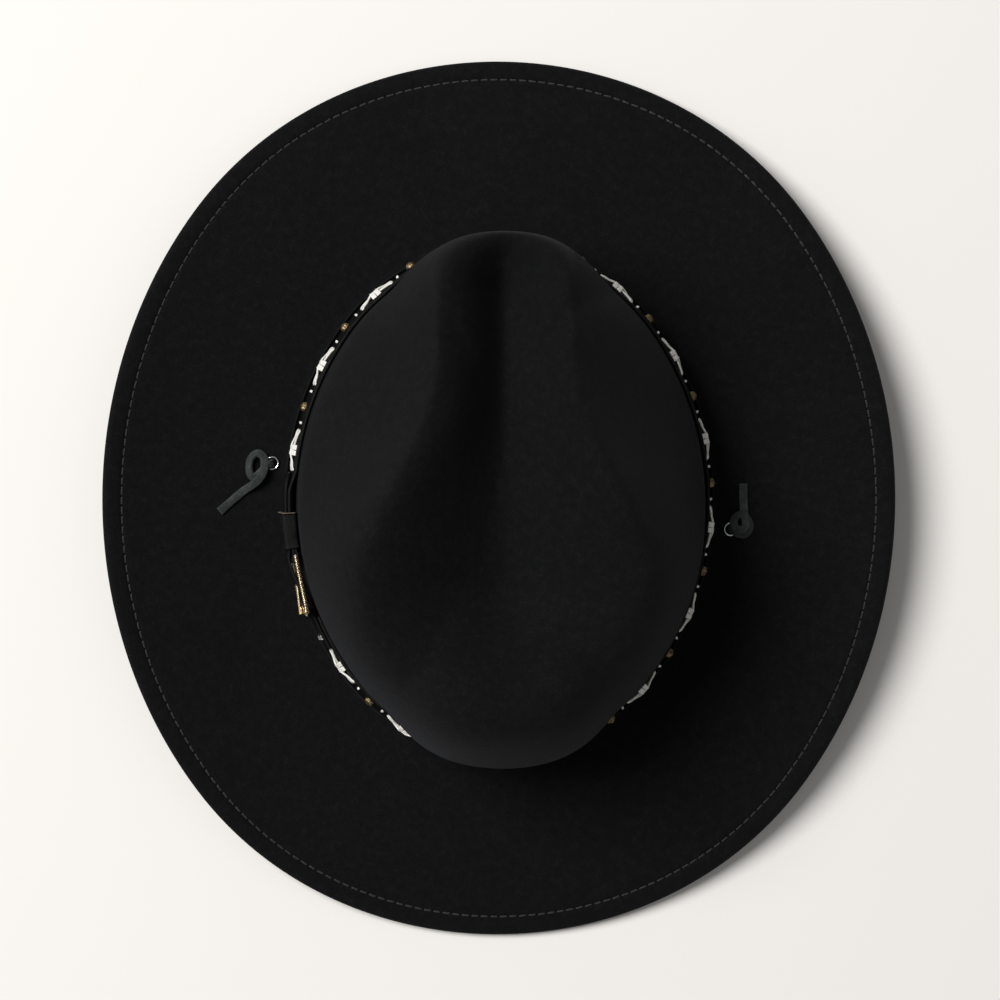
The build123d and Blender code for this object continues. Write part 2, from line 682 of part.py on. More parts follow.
def knot(eyelet_place, centre, radii, tail_points):
    """An overhand knot on the brim beside its eyelet, with its tail and the short end in the eyelet."""
    x, y = centre
    outer_x = x + radii[0] * (1 if x > 0 else -1)
    middle_z = brim_height(outer_x, y) + radii[2] + 0.1
    pebble = extrude(Ellipse(radii[0], radii[1]), radii[2], both=True)
    body = Pos(x, y, middle_z) * fillet(pebble.edges(), radii[2] * 0.6)
    stem_length = middle_z - CORD_TOP_Z
    stem = Pos(*eyelet_place, CORD_TOP_Z + stem_length / 2) * Cylinder(CORD_RADIUS, stem_length)
    elbow = Pos(*eyelet_place, middle_z) * Sphere(CORD_RADIUS)
    start = Vector(*eyelet_place, middle_z)
    run = Vector(x, y, middle_z) - start
    neck = Plane(origin=start + run / 2, z_dir=run) * Cylinder(CORD_RADIUS, run.length)
    return body + tail(tail_points) + neck + elbow + stem


def knot_left():
    tail_points = [(99.6, -8.8), (106.1, -3.7), (115.8, 4.7)]
    return knot(EYELET_LEFT, (99.9, -13.1), (4.2, 7.4, 2.7), tail_points)


def knot_right():
    tail_points = [(-101.2, 8.2), (-101.4, 0.0), (-101.3, -6.7)]
    return knot(EYELET_RIGHT, (-100.2, 10.6), (5.0, 6.2, 2.7), tail_points)


def route_radii():
    """Each corner's radius: 0.45 of the shorter run beside it, over the tangent of half the turn."""
    points = [Vector(*point) for point in CORD_ROUTE]
    radii = []
    for before, corner, after in zip(points, points[1:], points[2:]):
        arriving = corner - before
        leaving = after - corner
        turn = arriving.get_angle(leaving)
        radii.append(0.45 * min(arriving.length, leaving.length) / tan(radians(turn / 2)))
    return radii


def chin_cord():
    path = FilletPolyline(*CORD_ROUTE, radius=route_radii())
    section = Plane(origin=path @ 0, z_dir=path % 0) * Circle(CORD_RADIUS)
    return sweep(section, path=path), path.length


def cord_slider():
    """A leather-covered slide with one oval slot for both strands."""
    wide = 2 * (STRAND_X + CORD_RADIUS + SLIDER_ROOM)
    high = 2 * (CORD_RADIUS + SLIDER_ROOM)
    plane = Plane(origin=(0, 0, SLIDER_Z), x_dir=(1, 0, 0), z_dir=(0, 1, 0))
    outline = RectangleRounded(SLIDER_WIDTH, SLIDER_HEIGHT, 2.6)
    slot = RectangleRounded(wide, high, high / 2 - 0.01)
    return plane * extrude(outline - slot, SLIDER_LENGTH / 2, both=True)


# ---------------------------------------------------------------- output
def main():
    os.makedirs("parts", exist_ok=True)
    cord, cord_length = chin_cord()
    nodes = {
        "felt_body": felt_body(),
        "brim_edge_stitching": brim_edge_stitching(),
        "sweatband": sweatband(),
        "sweatband_reed": sweatband_reed(),
        "sweatband_stitching": sweatband_stitching(),
        "sweatband_bow": sweatband_bow(),
        "hat_band_strap": hat_band_strap(),
        "fold_rivet": fold_rivet(),
        "buckle_billet": buckle_billet(),
        "billet_rivets": billet_rivets(),
        "buckle_frame": buckle_frame(),
        "buckle_bar": buckle_bar(),
        "buckle_prong": buckle_prong(),
        "keeper_loop": keeper_loop(),
        "band_studs": band_studs(),
        "band_lacing": band_lacing(),
        "eyelet_left": eyelet(EYELET_LEFT),
        "eyelet_right": eyelet(EYELET_RIGHT),
        "eyelet_washers": eyelet_washers(),
        "knot_left": knot_left(),
        "knot_right": knot_right(),
        "chin_cord": cord,
        "cord_slider": cord_slider(),
    }
    for name, shape in nodes.items():
        export_step(shape, f"parts/{name}.step")
    section_area = pi * CORD_RADIUS ** 2
    print("cord length", round(cord_length, 1))
    print("cord volume over section times length", cord.volume / section_area / cord_length)
    print("cord radii", [round(radius, 1) for radius in route_radii()])


main()
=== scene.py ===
"""Looks for the felt hat: every visible piece, its materials, the floor, the light and the camera.

Metres, in the CAD model's frame: +Z up, the front of the hat at -Y, the buckle at +X. The crown's foot is
a four-centre oval, and "nu" is the direction of its outward normal in degrees: 0 at the wearer's left and
90 at the back. "Offset" is a distance out from the crown's wall and "height" one over the brim's root.
"""
from math import atan2, cos, degrees, exp, hypot, pi, radians, sin, sqrt, tan
import random

import bpy
from mathutils import Matrix, Vector, noise


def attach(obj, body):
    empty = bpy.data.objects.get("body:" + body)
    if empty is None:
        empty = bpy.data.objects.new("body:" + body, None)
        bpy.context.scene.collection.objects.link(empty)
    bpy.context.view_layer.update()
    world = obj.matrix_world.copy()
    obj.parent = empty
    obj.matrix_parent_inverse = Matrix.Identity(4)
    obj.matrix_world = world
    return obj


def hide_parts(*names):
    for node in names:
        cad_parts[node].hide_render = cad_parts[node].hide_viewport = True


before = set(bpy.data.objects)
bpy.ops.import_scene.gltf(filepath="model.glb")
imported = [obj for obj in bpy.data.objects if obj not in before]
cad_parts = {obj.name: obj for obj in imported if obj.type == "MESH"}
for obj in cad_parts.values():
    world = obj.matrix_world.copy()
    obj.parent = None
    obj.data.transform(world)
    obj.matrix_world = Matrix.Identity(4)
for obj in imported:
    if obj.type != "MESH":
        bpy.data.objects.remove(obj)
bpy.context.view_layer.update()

MM = 0.001

# The felt's driving sizes, as in the CAD model
BASE_HALF_WIDTH = 86.3 * MM
BASE_HALF_LENGTH = 103.3 * MM
END_RADIUS = 78.0 * MM
FELT = 2.3 * MM
ROOT_Z = 16.5 * MM
SIDE_LEAN = 6.5
FRONT_LEAN = -2.5
BACK_LEAN = -2.5
LEAN_CHANGE = 50.0
BREAK_RADIUS = 3.0 * MM
CROWN_HEIGHT = 108.0 * MM
FRONT_POWER = 6.0
BACK_POWER = 3.3
FRONT_DROP = 5.0 * MM
FRONT_DROP_Y = (-20.0 * MM, -100.0 * MM)
FRONT_DROP_HEIGHTS = (60.0 * MM, 100.0 * MM)
CREASE_DEPTH = 50.0 * MM
CREASE_ROUND = 0.16
RIDGE_ROUND = 0.06
RIDGE_WIDTHS = (27.0 * MM, 60.0 * MM)
RIDGE_WIDENS = (-60.0 * MM, 40.0 * MM)
CREASE_STARTS = (-122.0 * MM, -82.0 * MM)
CREASE_ENDS = (30.0 * MM, 94.0 * MM)
CREASE_HEIGHTS = (52.0 * MM, 100.0 * MM)
PINCH = 0.6
PINCH_Y = -48.0 * MM
PINCH_LENGTH = 50.0 * MM
PINCH_HEIGHTS = (24.0 * MM, 115.0 * MM)
SWELL = 0.024              # share by which the felt stands out over the band
BACK_SWELL = 0.012         # and further at the back
SWELL_HEIGHTS = (28.0 * MM, 44.0 * MM)
BRIM_END_WIDTH = 79.6 * MM
BRIM_SIDE_WIDTH = 77.2 * MM
BRIM_FULLNESS = 1.4 * MM
BRIM_POWER = 1.7
CURL_POWER = 2.4           # how closely the brim's curl keeps to the sides
SIDE_RISE = 12.0 * MM
HEM_WIDTH = 9.5 * MM
HEM = 1.9 * MM
STITCH_INSET = 8.0 * MM
STITCH_PITCH = 4.0 * MM
STITCH_LENGTH = 2.7 * MM
THREAD = 0.5 * MM
END_DROP = ROOT_Z - FELT - HEM
AROUND = 480               # columns of the felt's mesh
CROWN_ROWS = 150
BRIM_ROWS = 60

# Sweatband
SWEATBAND = 1.2 * MM
SWEATBAND_GAP = 1.6 * MM
SWEATBAND_BOTTOM = -2.0 * MM
SWEATBAND_TOP = 30.0 * MM
REED_RADIUS = 1.0 * MM

# Hat band
BAND_GAP = 0.3 * MM
LEATHER = 1.3 * MM
BAND_BOTTOM = 6.0 * MM
BAND_HEIGHT = 22.0 * MM
BAND_MIDDLE = BAND_BOTTOM + BAND_HEIGHT / 2
STUD_COUNT = 14
ANGLE_STEP = 0.05
STUD_RADIUS = 2.2 * MM
LACE_LENGTH = 17.0 * MM
BAND_END_Y = 49.0 * MM
DECORATED_START_Y = 63.5 * MM
RAMP_Y = (-12.5 * MM, -4.5 * MM)
BAR_Y = 23.6 * MM
BAR_OFFSET = 2.6 * MM
FOLD_RADIUS = 1.42 * MM
BUCKLE_START_Y = 21.9 * MM
BUCKLE_LENGTH = 25.0 * MM
BUCKLE_RAIL = 3.5 * MM
BUCKLE_THICKNESS = 1.8 * MM
BUCKLE_HEIGHT = BAND_HEIGHT + 7.6 * MM
BUCKLE_TILT = 4.8
BUCKLE_OFFSET = 3.0 * MM
KEEPER_Y = (4.5 * MM, 19.0 * MM)
KEEPER_OFFSETS = (0.35 * MM, 1.05 * MM, 5.25 * MM, 6.25 * MM)
KEEPER_EDGE = 0.4 * MM
KEEPER_LEATHER = 1.0 * MM
BILLET_HEIGHT = 17.0 * MM
TOOLED_INSET = 1.8 * MM    # of the tooled lines from a strap's edges

# Chin cord
CORD_DIAMETER = 3.5 * MM
CORD_FLOOR_Z = 1.95 * MM
SLIDER_Z = 3.2 * MM
STRAND_X = 2.3 * MM
SLIDER_LENGTH = 16.0 * MM
SLIDER_WIDTH = 13.5 * MM
SLIDER_HEIGHT = 6.2 * MM
SLIDER_ROOM = 0.35 * MM
CORD_TOP_Z = 15.5 * MM
EYELET_LEFT = (94.1 * MM, -15.3 * MM)
EYELET_RIGHT = (-96.0 * MM, 12.3 * MM)
EYELET_HOLE = 1.95 * MM

# The chin cord's route, as in the CAD model
CORD_ROUTE = [
    (0.0941, -0.0153, CORD_TOP_Z),
    (0.0941, -0.0153, 0.0076),
    (0.0914, -0.0203, 0.0032),
    (0.0835, -0.0310, CORD_FLOOR_Z),
    (0.0740, -0.0490, CORD_FLOOR_Z),
    (0.0580, -0.0700, CORD_FLOOR_Z),
    (0.0360, -0.0860, CORD_FLOOR_Z),
    (0.0130, -0.0800, CORD_FLOOR_Z),
    (0.0050, -0.0570, CORD_FLOOR_Z),
    (STRAND_X, -0.0300, SLIDER_Z),
    (STRAND_X, 0.0300, SLIDER_Z),
    (0.0100, 0.0570, CORD_FLOOR_Z),
    (0.0310, 0.0740, CORD_FLOOR_Z),
    (0.0290, 0.0970, CORD_FLOOR_Z),
    (0.0030, 0.1060, CORD_FLOOR_Z),
    (-0.0250, 0.0980, CORD_FLOOR_Z),
    (-0.0330, 0.0760, CORD_FLOOR_Z),
    (-0.0110, 0.0560, CORD_FLOOR_Z),
    (-STRAND_X, 0.0300, SLIDER_Z),
    (-STRAND_X, -0.0300, SLIDER_Z),
    (-0.0070, -0.0580, CORD_FLOOR_Z),
    (-0.0210, -0.0800, CORD_FLOOR_Z),
    (-0.0460, -0.0850, CORD_FLOOR_Z),
    (-0.0670, -0.0680, CORD_FLOOR_Z),
    (-0.0730, -0.0430, CORD_FLOOR_Z),
    (-0.0770, -0.0170, CORD_FLOOR_Z),
    (-0.0850, 0.0000, CORD_FLOOR_Z),
    (-0.0928, 0.0079, 0.0032),
    (-0.0960, 0.0123, 0.0076),
    (-0.0960, 0.0123, CORD_TOP_Z),
]
FLOOR_COLOUR = (0.90, 0.875, 0.835, 1)

# The four centres of the crown's oval
END_CENTRE = BASE_HALF_LENGTH - END_RADIUS
WIDTH_STEP = BASE_HALF_WIDTH - END_RADIUS
SIDE_CENTRE = (END_CENTRE ** 2 - WIDTH_STEP ** 2) / (2 * WIDTH_STEP)
SIDE_RADIUS = BASE_HALF_WIDTH + SIDE_CENTRE
SIDE_ANGLE = degrees(atan2(END_CENTRE, SIDE_CENTRE))
UP = Vector((0, 0, 1))


def new_object(name, data):
    """An object in the scene."""
    made = bpy.data.objects.new(name, data)
    bpy.context.scene.collection.objects.link(made)
    return made


def new_mesh(name, verts, faces):
    mesh = bpy.data.meshes.new(name)
    mesh.from_pydata([tuple(vert) for vert in verts], [], faces)
    return mesh


# ---------------------------------------------------------------- camera
def add_camera():
    """Looks down at the hat, its front at the top of the picture, a little from the wearer's left."""
    data = bpy.data.cameras.new("camera")
    data.sensor_width = 36.0
    data.lens = 121.0
    data.clip_start = 0.01
    camera = new_object("camera", data)
    place = Vector((0.045, -0.03, 1.41))
    target = Vector((-0.0004, 0.0002, 0.010))
    backward = (place - target).normalized()
    right = Vector((0, -1, 0)).cross(backward).normalized()
    top = backward.cross(right)
    turn = Matrix((right, top, backward)).transposed()
    camera.matrix_world = Matrix.Translation(place) @ turn.to_4x4()
    bpy.context.scene.camera = camera


add_camera()


# ---------------------------------------------------------------- shape helpers
def smooth(value):
    """0 below 0, 1 above 1, and an S-curve between."""
    value = min(max(value, 0.0), 1.0)
    return value * value * (3 - 2 * value)


def ease(value, span):
    """0 before the span, 1 after it, and an S-curve between."""
    return smooth((value - span[0]) / (span[1] - span[0]))


def oval_arc(nu):
    """Centre x, centre y and radius of the arc that has this outward normal."""
    x = cos(radians(nu))
    y = sin(radians(nu))
    if abs(y) < sin(radians(SIDE_ANGLE)):
        return (-SIDE_CENTRE if x > 0 else SIDE_CENTRE), 0.0, SIDE_RADIUS
    return 0.0, (END_CENTRE if y > 0 else -END_CENTRE), END_RADIUS


def outward(nu):
    return Vector((cos(radians(nu)), sin(radians(nu)), 0))


def slope(nu):
    """How far the wall leans in for each unit of height."""
    end_lean = BACK_LEAN if sin(radians(nu)) > 0 else FRONT_LEAN
    share = ease(abs(sin(radians(nu))), (sin(radians(LEAN_CHANGE)), 1))
    return tan(radians(SIDE_LEAN + (end_lean - SIDE_LEAN) * share))


def wall_up(nu):
    """Up along the leaning wall."""
    return (UP - outward(nu) * slope(nu)).normalized()


def wall_point(nu, offset, height):
    centre_x, centre_y, radius = oval_arc(nu)
    reach = radius + offset - height * slope(nu)
    return Vector((centre_x, centre_y, ROOT_Z + height)) + outward(nu) * reach


def side_nu(y):
    """Direction of the left side's normal at this distance along the crown."""
    return degrees(y / SIDE_RADIUS)


def brim_width(nu):
    across = cos(radians(nu)) ** 2
    fullness = BRIM_FULLNESS * sin(radians(2 * nu)) ** 2
    return BRIM_END_WIDTH + (BRIM_SIDE_WIDTH - BRIM_END_WIDTH) * across + fullness


def brim_point(nu, offset):
    """A point on the brim's top, at this distance from the crown's foot."""
    point = wall_point(nu, offset, 0)
    side = abs(cos(radians(nu))) ** CURL_POWER
    share = (max(offset, 0) / brim_width(nu)) ** BRIM_POWER
    point.z = ROOT_Z + share * (SIDE_RISE * side - END_DROP * (1 - side))
    return point


def brim_height(x, y):
    """Height of the brim's top at a place beside the crown."""
    reach = hypot(abs(x) + SIDE_CENTRE, y)
    nu = degrees(atan2(y, abs(x) + SIDE_CENTRE))
    return brim_point(nu, max(reach - SIDE_RADIUS, 0)).z


def crease(x, y):
    """How deep the middle crease is: a V with a rounded bottom between two ridges."""
    ridge = RIDGE_WIDTHS[0] + (RIDGE_WIDTHS[1] - RIDGE_WIDTHS[0]) * ease(y, RIDGE_WIDENS)
    inside = 1 - hypot(x / ridge, CREASE_ROUND)
    share = (inside + hypot(inside, RIDGE_ROUND)) / 2
    return CREASE_DEPTH * share * ease(y, CREASE_STARTS) * (1 - ease(y, CREASE_ENDS))


def crown_point(nu, step):
    """A point on the crown's outside; step is 0 at the foot, 1 at the shoulder and 2 at the top."""
    power = BACK_POWER + (FRONT_POWER - BACK_POWER) * smooth(0.5 - 0.5 * sin(radians(nu)))
    shoulder = 0.5 ** (1 / power)
    if step <= 1:
        rise = step * shoulder
        scale = (1 - rise ** power) ** (1 / power)
    else:
        scale = (2 - step) * shoulder
        rise = (1 - scale ** power) ** (1 / power)
    height = CROWN_HEIGHT * rise
    wall = wall_point(nu, 0, height)
    x = wall.x * scale
    y = wall.y * scale
    swell = 1 + (SWELL + BACK_SWELL * ease(sin(radians(nu)), (0.5, 0.9))) * ease(height, SWELL_HEIGHTS)
    x *= swell
    y *= swell
    x *= 1 - PINCH * exp(-((y - PINCH_Y) / PINCH_LENGTH) ** 2) * ease(height, PINCH_HEIGHTS)
    dent = crease(x, y) * ease(height, CREASE_HEIGHTS)
    drop = FRONT_DROP * ease(y, FRONT_DROP_Y) * ease(height, FRONT_DROP_HEIGHTS)
    return Vector((x, y, ROOT_Z + height - dent - drop))


def rounded_rect(width, height, radius, steps=3):
    """Corner-rounded outline as (across, up) pairs, counterclockwise."""
    outline = []
    for corner in range(4):
        centre_x = (width / 2 - radius) * (1 if corner in (0, 3) else -1)
        centre_y = (height / 2 - radius) * (1 if corner in (0, 1) else -1)
        for step in range(steps + 1):
            angle = pi / 2 * (corner + step / steps)
            outline.append((centre_x + radius * cos(angle), centre_y + radius * sin(angle)))
    return outline


def add_piece(name, solid, material, node=None, body="hat", smooth_shade=True):
    """Makes a piece from its verts and faces and puts it on its body, in place of a CAD node."""
    mesh = new_mesh(name, *solid)
    mesh.validate()
    mesh.update()
    piece = new_object(name, mesh)
    mesh.materials.append(material)
    if smooth_shade:
        mesh.polygons.foreach_set("use_smooth", [True] * len(mesh.polygons))
    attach(piece, body)
    if node:
        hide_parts(node)
    return piece


def grid_faces(rows, columns, start=0):
    """Quads between closed rows of points that are listed row by row."""
    faces = []
    for row in range(rows - 1):
        for column in range(columns):
            after = (column + 1) % columns
            a = start + row * columns + column
            b = start + row * columns + after
            faces.append((a, b, b + columns, a + columns))
    return faces


def hoop_faces(columns, count):
    """Quads of a closed hoop whose columns are closed sections of count points, listed one by one."""
    faces = []
    for i in range(columns):
        after = (i + 1) % columns
        for j in range(count):
            k = (j + 1) % count
            faces.append((i * count + j, after * count + j, after * count + k, i * count + k))
    return faces


def skin(sections, closed_ends=True):
    """Verts and faces of a solid through sections with the same number of points."""
    count = len(sections[0])
    verts = [point for section in sections for point in section]
    faces = grid_faces(len(sections), count)
    if closed_ends:
        faces.append(tuple(range(count - 1, -1, -1)))
        last = (len(sections) - 1) * count
        faces.append(tuple(range(last, last + count)))
    return verts, faces


def join(parts):
    """One list of verts and faces from several."""
    verts = []
    faces = []
    for part_verts, part_faces in parts:
        base = len(verts)
        verts += part_verts
        faces += [tuple(index + base for index in face) for face in part_faces]
    return verts, faces


def carried_frames(points, normal):
    """Tangent, normal and side at each point of a path, the normal carried along without twist."""
    frames = []
    for index in range(len(points)):
        before = points[max(index - 1, 0)]
        after = points[min(index + 1, len(points) - 1)]
        tangent = (after - before).normalized()
        normal = (normal - tangent * normal.dot(tangent)).normalized()
        frames.append((tangent, normal, tangent.cross(normal)))
    return frames


def tube(points, outline, normal, scales=None, twist=0.0):
    """A solid along a path; the outline's pairs are along the side and the normal."""
    sections = []
    frames = carried_frames(points, normal)
    for index, (point, (_, up, side)) in enumerate(zip(points, frames)):
        turn = twist * index / max(len(points) - 1, 1)
        scale = scales[index] if scales else 1.0
        c = cos(turn)
        s = sin(turn)
        sections.append([point + side * (a * c - b * s) * scale + up * (a * s + b * c) * scale
                         for a, b in outline])
    return skin(sections)


def spline_points(controls, steps=8):
    """A smooth line through given points (Catmull-Rom)."""
    pts = [Vector(c) for c in controls]
    pts = [pts[0] * 2 - pts[1]] + pts + [pts[-1] * 2 - pts[-2]]
    line = []
    for p0, p1, p2, p3 in zip(pts, pts[1:], pts[2:], pts[3:]):
        for step in range(steps):
            t = step / steps
            line.append(0.5 * ((2 * p1) + (p2 - p0) * t + (2 * p0 - 5 * p1 + 4 * p2 - p3) * t * t
                               + (3 * p1 - p0 - 3 * p2 + p3) * t ** 3))
    line.append(pts[-2])
    return line


# ---------------------------------------------------------------- materials
class Look:
    """A procedural material; constants are set on the shader's own sockets, as Sheen_Weight=0.3."""

    def __init__(self, name, **values):
        self.material = bpy.data.materials.new(name)
        self.material.use_nodes = True
        self.nodes = self.material.node_tree.nodes
        self.links = self.material.node_tree.links
        self.shader = self.nodes["Principled BSDF"]
        for socket, value in values.items():
            self.shader.inputs[socket.replace("_", " ")].default_value = value

    def drive(self, socket, source):
        self.links.new(source, self.shader.inputs[socket])

    def node(self, kind, source=None, socket="Vector", **values):
        """A node with these socket values, fed from the source or from the object's own coordinates."""
        made = self.nodes.new("ShaderNode" + kind)
        for name, value in values.items():
            made.inputs[name].default_value = value
        source = source or self.nodes.new("ShaderNodeTexCoord").outputs["Object"]
        self.links.new(source, made.inputs[socket])
        return made

    def noise(self, scale, detail=4.0, rough=0.6, stretch=None):
        source = self.node("Mapping", Scale=stretch).outputs["Vector"] if stretch else None
        return self.node("TexNoise", source, Scale=scale, Detail=detail, Roughness=rough).outputs["Fac"]

    def wave(self, direction, scale, distortion=0.0):
        texture = self.node("TexWave", Scale=scale, Distortion=distortion)
        texture.wave_type = "BANDS"
        texture.bands_direction = direction
        return texture.outputs["Fac"]

    def ramp(self, source, stops):
        """A colour ramp; stops are (place, colour)."""
        ramp = self.node("ValToRGB", source, "Fac")
        while len(ramp.color_ramp.elements) < len(stops):
            ramp.color_ramp.elements.new(0.5)
        for element, (place, colour) in zip(ramp.color_ramp.elements, stops):
            element.position = place
            element.color = (*colour, 1)
        return ramp.outputs["Color"]

    def mix(self, first, second, share):
        mix = self.nodes.new("ShaderNodeMix")
        mix.data_type = "FLOAT"
        mix.inputs["Factor"].default_value = share
        self.links.new(first, mix.inputs[2])
        self.links.new(second, mix.inputs[3])
        return mix.outputs[0]

    def bump(self, source, distance, strength=1.0, under=None):
        bump = self.node("Bump", source, "Height", Strength=strength, Distance=distance)
        if under:
            self.links.new(under, bump.inputs["Normal"])
        return bump.outputs["Normal"]


def felt_material():
    """Black brushed wool felt: dense short fibres, slight mottling and a dusty sheen."""
    look = Look(
        "black_felt", Roughness=0.95, Specular_IOR_Level=0.15, Sheen_Weight=0.042, Sheen_Roughness=0.42,
        Sheen_Tint=(0.50, 0.53, 0.62, 1))
    fibres = look.noise(1500, 5, 0.72)
    clumps = look.noise(300, 4, 0.65)
    patches = look.noise(24, 3, 0.5)
    tint = look.ramp(look.mix(fibres, clumps, 0.42),
                     [(0.30, (0.0010, 0.0010, 0.0011)), (0.52, (0.0033, 0.0034, 0.0037)),
                      (0.74, (0.0100, 0.0102, 0.0110))])
    shade = look.ramp(patches, [(0.3, (0.80, 0.80, 0.80)), (0.7, (1.0, 1.0, 1.0))])
    product = look.nodes.new("ShaderNodeMix")
    product.data_type = "RGBA"
    product.blend_type = "MULTIPLY"
    product.inputs["Factor"].default_value = 1.0
    look.links.new(tint, product.inputs[6])
    look.links.new(shade, product.inputs[7])
    look.drive("Base Color", product.outputs[2])
    coarse = look.bump(clumps, 0.0005, 0.55)
    look.drive("Normal", look.bump(fibres, 0.00025, 0.8, coarse))
    return look.material


def leather_material(name, dark, light, roughness, pore_scale=1100, pore_depth=0.00008):
    """Finished leather: pores, fine creases and a slightly uneven gloss."""
    look = Look(name, Roughness=roughness, Specular_IOR_Level=0.1)
    grain = look.node("TexVoronoi", Scale=pore_scale)
    grain.feature = "DISTANCE_TO_EDGE"
    wear = look.noise(180, 5, 0.6)
    look.drive("Base Color", look.ramp(wear, [(0.35, dark), (0.75, light)]))
    gloss = look.ramp(wear, [(0.3, (roughness * 0.8,) * 3), (0.8, (roughness * 1.25,) * 3)])
    look.drive("Roughness", gloss)
    pebbles = look.ramp(grain.outputs["Distance"], [(0.0, (0, 0, 0)), (0.18, (1, 1, 1))])
    soft = look.bump(wear, 0.0003, 0.35)
    look.drive("Normal", look.bump(pebbles, pore_depth, 0.7, soft))
    return look.material


def suede_material():
    """Dark grey-green suede lace: raised nap, pale where it is rubbed."""
    look = Look(
        "suede_lace", Roughness=0.92, Specular_IOR_Level=0.2, Sheen_Weight=0.12, Sheen_Roughness=0.5,
        Sheen_Tint=(0.75, 0.80, 0.76, 1))
    nap = look.noise(1900, 5, 0.7)
    rub = look.noise(260, 3, 0.6)
    tint = look.ramp(look.mix(nap, rub, 0.5),
                     [(0.3, (0.012, 0.014, 0.013)), (0.52, (0.032, 0.037, 0.035)),
                      (0.72, (0.078, 0.088, 0.083))])
    look.drive("Base Color", tint)
    look.drive("Normal", look.bump(nap, 0.0003, 0.9))
    return look.material


def rawhide_material():
    """Pale rawhide lace, a little yellowed in its creases."""
    look = Look("pale_lace", Roughness=0.5)
    grain = look.noise(1400, 5, 0.65)
    tint = look.ramp(grain,
                     [(0.3, (0.55, 0.50, 0.42)), (0.5, (0.80, 0.78, 0.73)), (0.7, (0.88, 0.87, 0.84))])
    look.drive("Base Color", tint)
    look.drive("Normal", look.bump(grain, 0.0002, 0.5))
    return look.material


def metal_material(name, bright, dull, roughness, grime_scale=420, grime=(0.35, 0.62)):
    """Plated metal with darkened recesses and fine scratches."""
    look = Look(name, Metallic=1.0, Roughness=roughness)
    grime_noise = look.noise(grime_scale, 5, 0.65)
    scratches = look.noise(900, 3, 0.6, (1.0, 1.0, 14.0))
    low, high = grime
    tint = look.ramp(grime_noise, [(low, dull), (high, bright)])
    look.drive("Base Color", tint)
    rough = min(roughness * 1.9, 1)
    gloss = look.ramp(grime_noise, [(low, (rough,) * 3), (high, (roughness,) * 3)])
    look.drive("Roughness", gloss)
    look.drive("Normal", look.bump(scratches, 0.00003, 0.5))
    return look.material


def thread_material(name, dark, light):
    """Twisted sewing thread, with shade painted into the grooves of the twist."""
    look = Look(name, Roughness=0.7, Sheen_Weight=0.3)
    wave = look.wave("DIAGONAL", 900, 1.5)
    # painted shade: the colour runs darker in the twist's grooves, on the same bands as the bump
    look.drive("Base Color", look.ramp(wave, [(0.2, dark), (0.8, light)]))
    look.drive("Normal", look.bump(wave, 0.0001, 0.6))
    return look.material


def ribbon_material():
    """Grosgrain ribbon: fine ribs across, with shade painted into the grooves between them."""
    look = Look("grosgrain", Roughness=0.6)
    wave = look.wave("X", 420)
    # painted shade: the colour is darker in the grooves between the ribs, on the same bands as the bump
    tint = look.ramp(wave, [(0.0, (0.006, 0.006, 0.007)), (1.0, (0.03, 0.03, 0.033))])
    look.drive("Base Color", tint)
    look.drive("Normal", look.bump(wave, 0.0003, 0.9))
    return look.material


FELT_LOOK = felt_material()
BAND_LOOK = leather_material("band_leather", (0.0032, 0.0031, 0.0030), (0.0085, 0.0082, 0.0078), 0.55)
KEEPER_LOOK = leather_material("keeper_leather", (0.0040, 0.0038, 0.0036), (0.0095, 0.0092, 0.0086), 0.6)
CUT_LOOK = leather_material("cut_leather", (0.10, 0.080, 0.060), (0.26, 0.22, 0.17), 0.7)
SWEAT_LOOK = leather_material("sweatband_leather", (0.055, 0.028, 0.014), (0.115, 0.062, 0.034), 0.42, 1500)
SLIDER_LOOK = leather_material("slider_leather", (0.020, 0.018, 0.015), (0.055, 0.050, 0.042), 0.5)
CORD_LOOK = suede_material()
LACE_LOOK = rawhide_material()
STUD_LOOK = metal_material("antique_brass", (0.32, 0.24, 0.135), (0.035, 0.026, 0.016), 0.32)
BUCKLE_LOOK = metal_material("pale_gold", (0.90, 0.74, 0.50), (0.30, 0.22, 0.13), 0.22, 500, (0.30, 0.50))
NICKEL_LOOK = metal_material("nickel", (0.75, 0.76, 0.78), (0.30, 0.30, 0.31), 0.16, 300, (0.25, 0.45))
REED_LOOK = leather_material("reed_cover", (0.012, 0.012, 0.013), (0.03, 0.03, 0.032), 0.5)
EDGE_THREAD_LOOK = thread_material("edge_thread", (0.0018, 0.0018, 0.0020), (0.008, 0.008, 0.009))
SWEAT_THREAD_LOOK = thread_material("sweat_thread", (0.10, 0.06, 0.035), (0.30, 0.20, 0.12))
RIBBON_LOOK = ribbon_material()


# ---------------------------------------------------------------- chin cord
def cord_line():
    """The cord's own smooth line: a NURBS spline with the route's points as its control points."""
    curve = bpy.data.curves.new("cord_line", "CURVE")
    curve.dimensions = "3D"
    spline = curve.splines.new("NURBS")
    spline.points.add(len(CORD_ROUTE) - 1)
    for point, place in zip(spline.points, CORD_ROUTE):
        point.co = (*place, 1)
    spline.order_u = 3
    spline.use_endpoint_u = True
    spline.resolution_u = 10
    holder = new_object("cord_line", curve)
    line = bpy.data.meshes.new_from_object(holder)
    points = [vertex.co.copy() for vertex in line.vertices]
    bpy.data.objects.remove(holder)
    bpy.data.curves.remove(curve)
    bpy.data.meshes.remove(line)
    kept = [points[0]]
    for point in points[1:]:
        if (point - kept[-1]).length > 1e-5:
            kept.append(point)
    return kept


def suede_outline(width, thick, seed):
    """A lace's cut section: flat faces, slightly ragged edges."""
    draw = random.Random(seed)
    return [(a * (1 + draw.uniform(-0.03, 0.03)), b * (1 + draw.uniform(-0.03, 0.03)))
            for a, b in rounded_rect(width, thick, thick * 0.32, 3)]


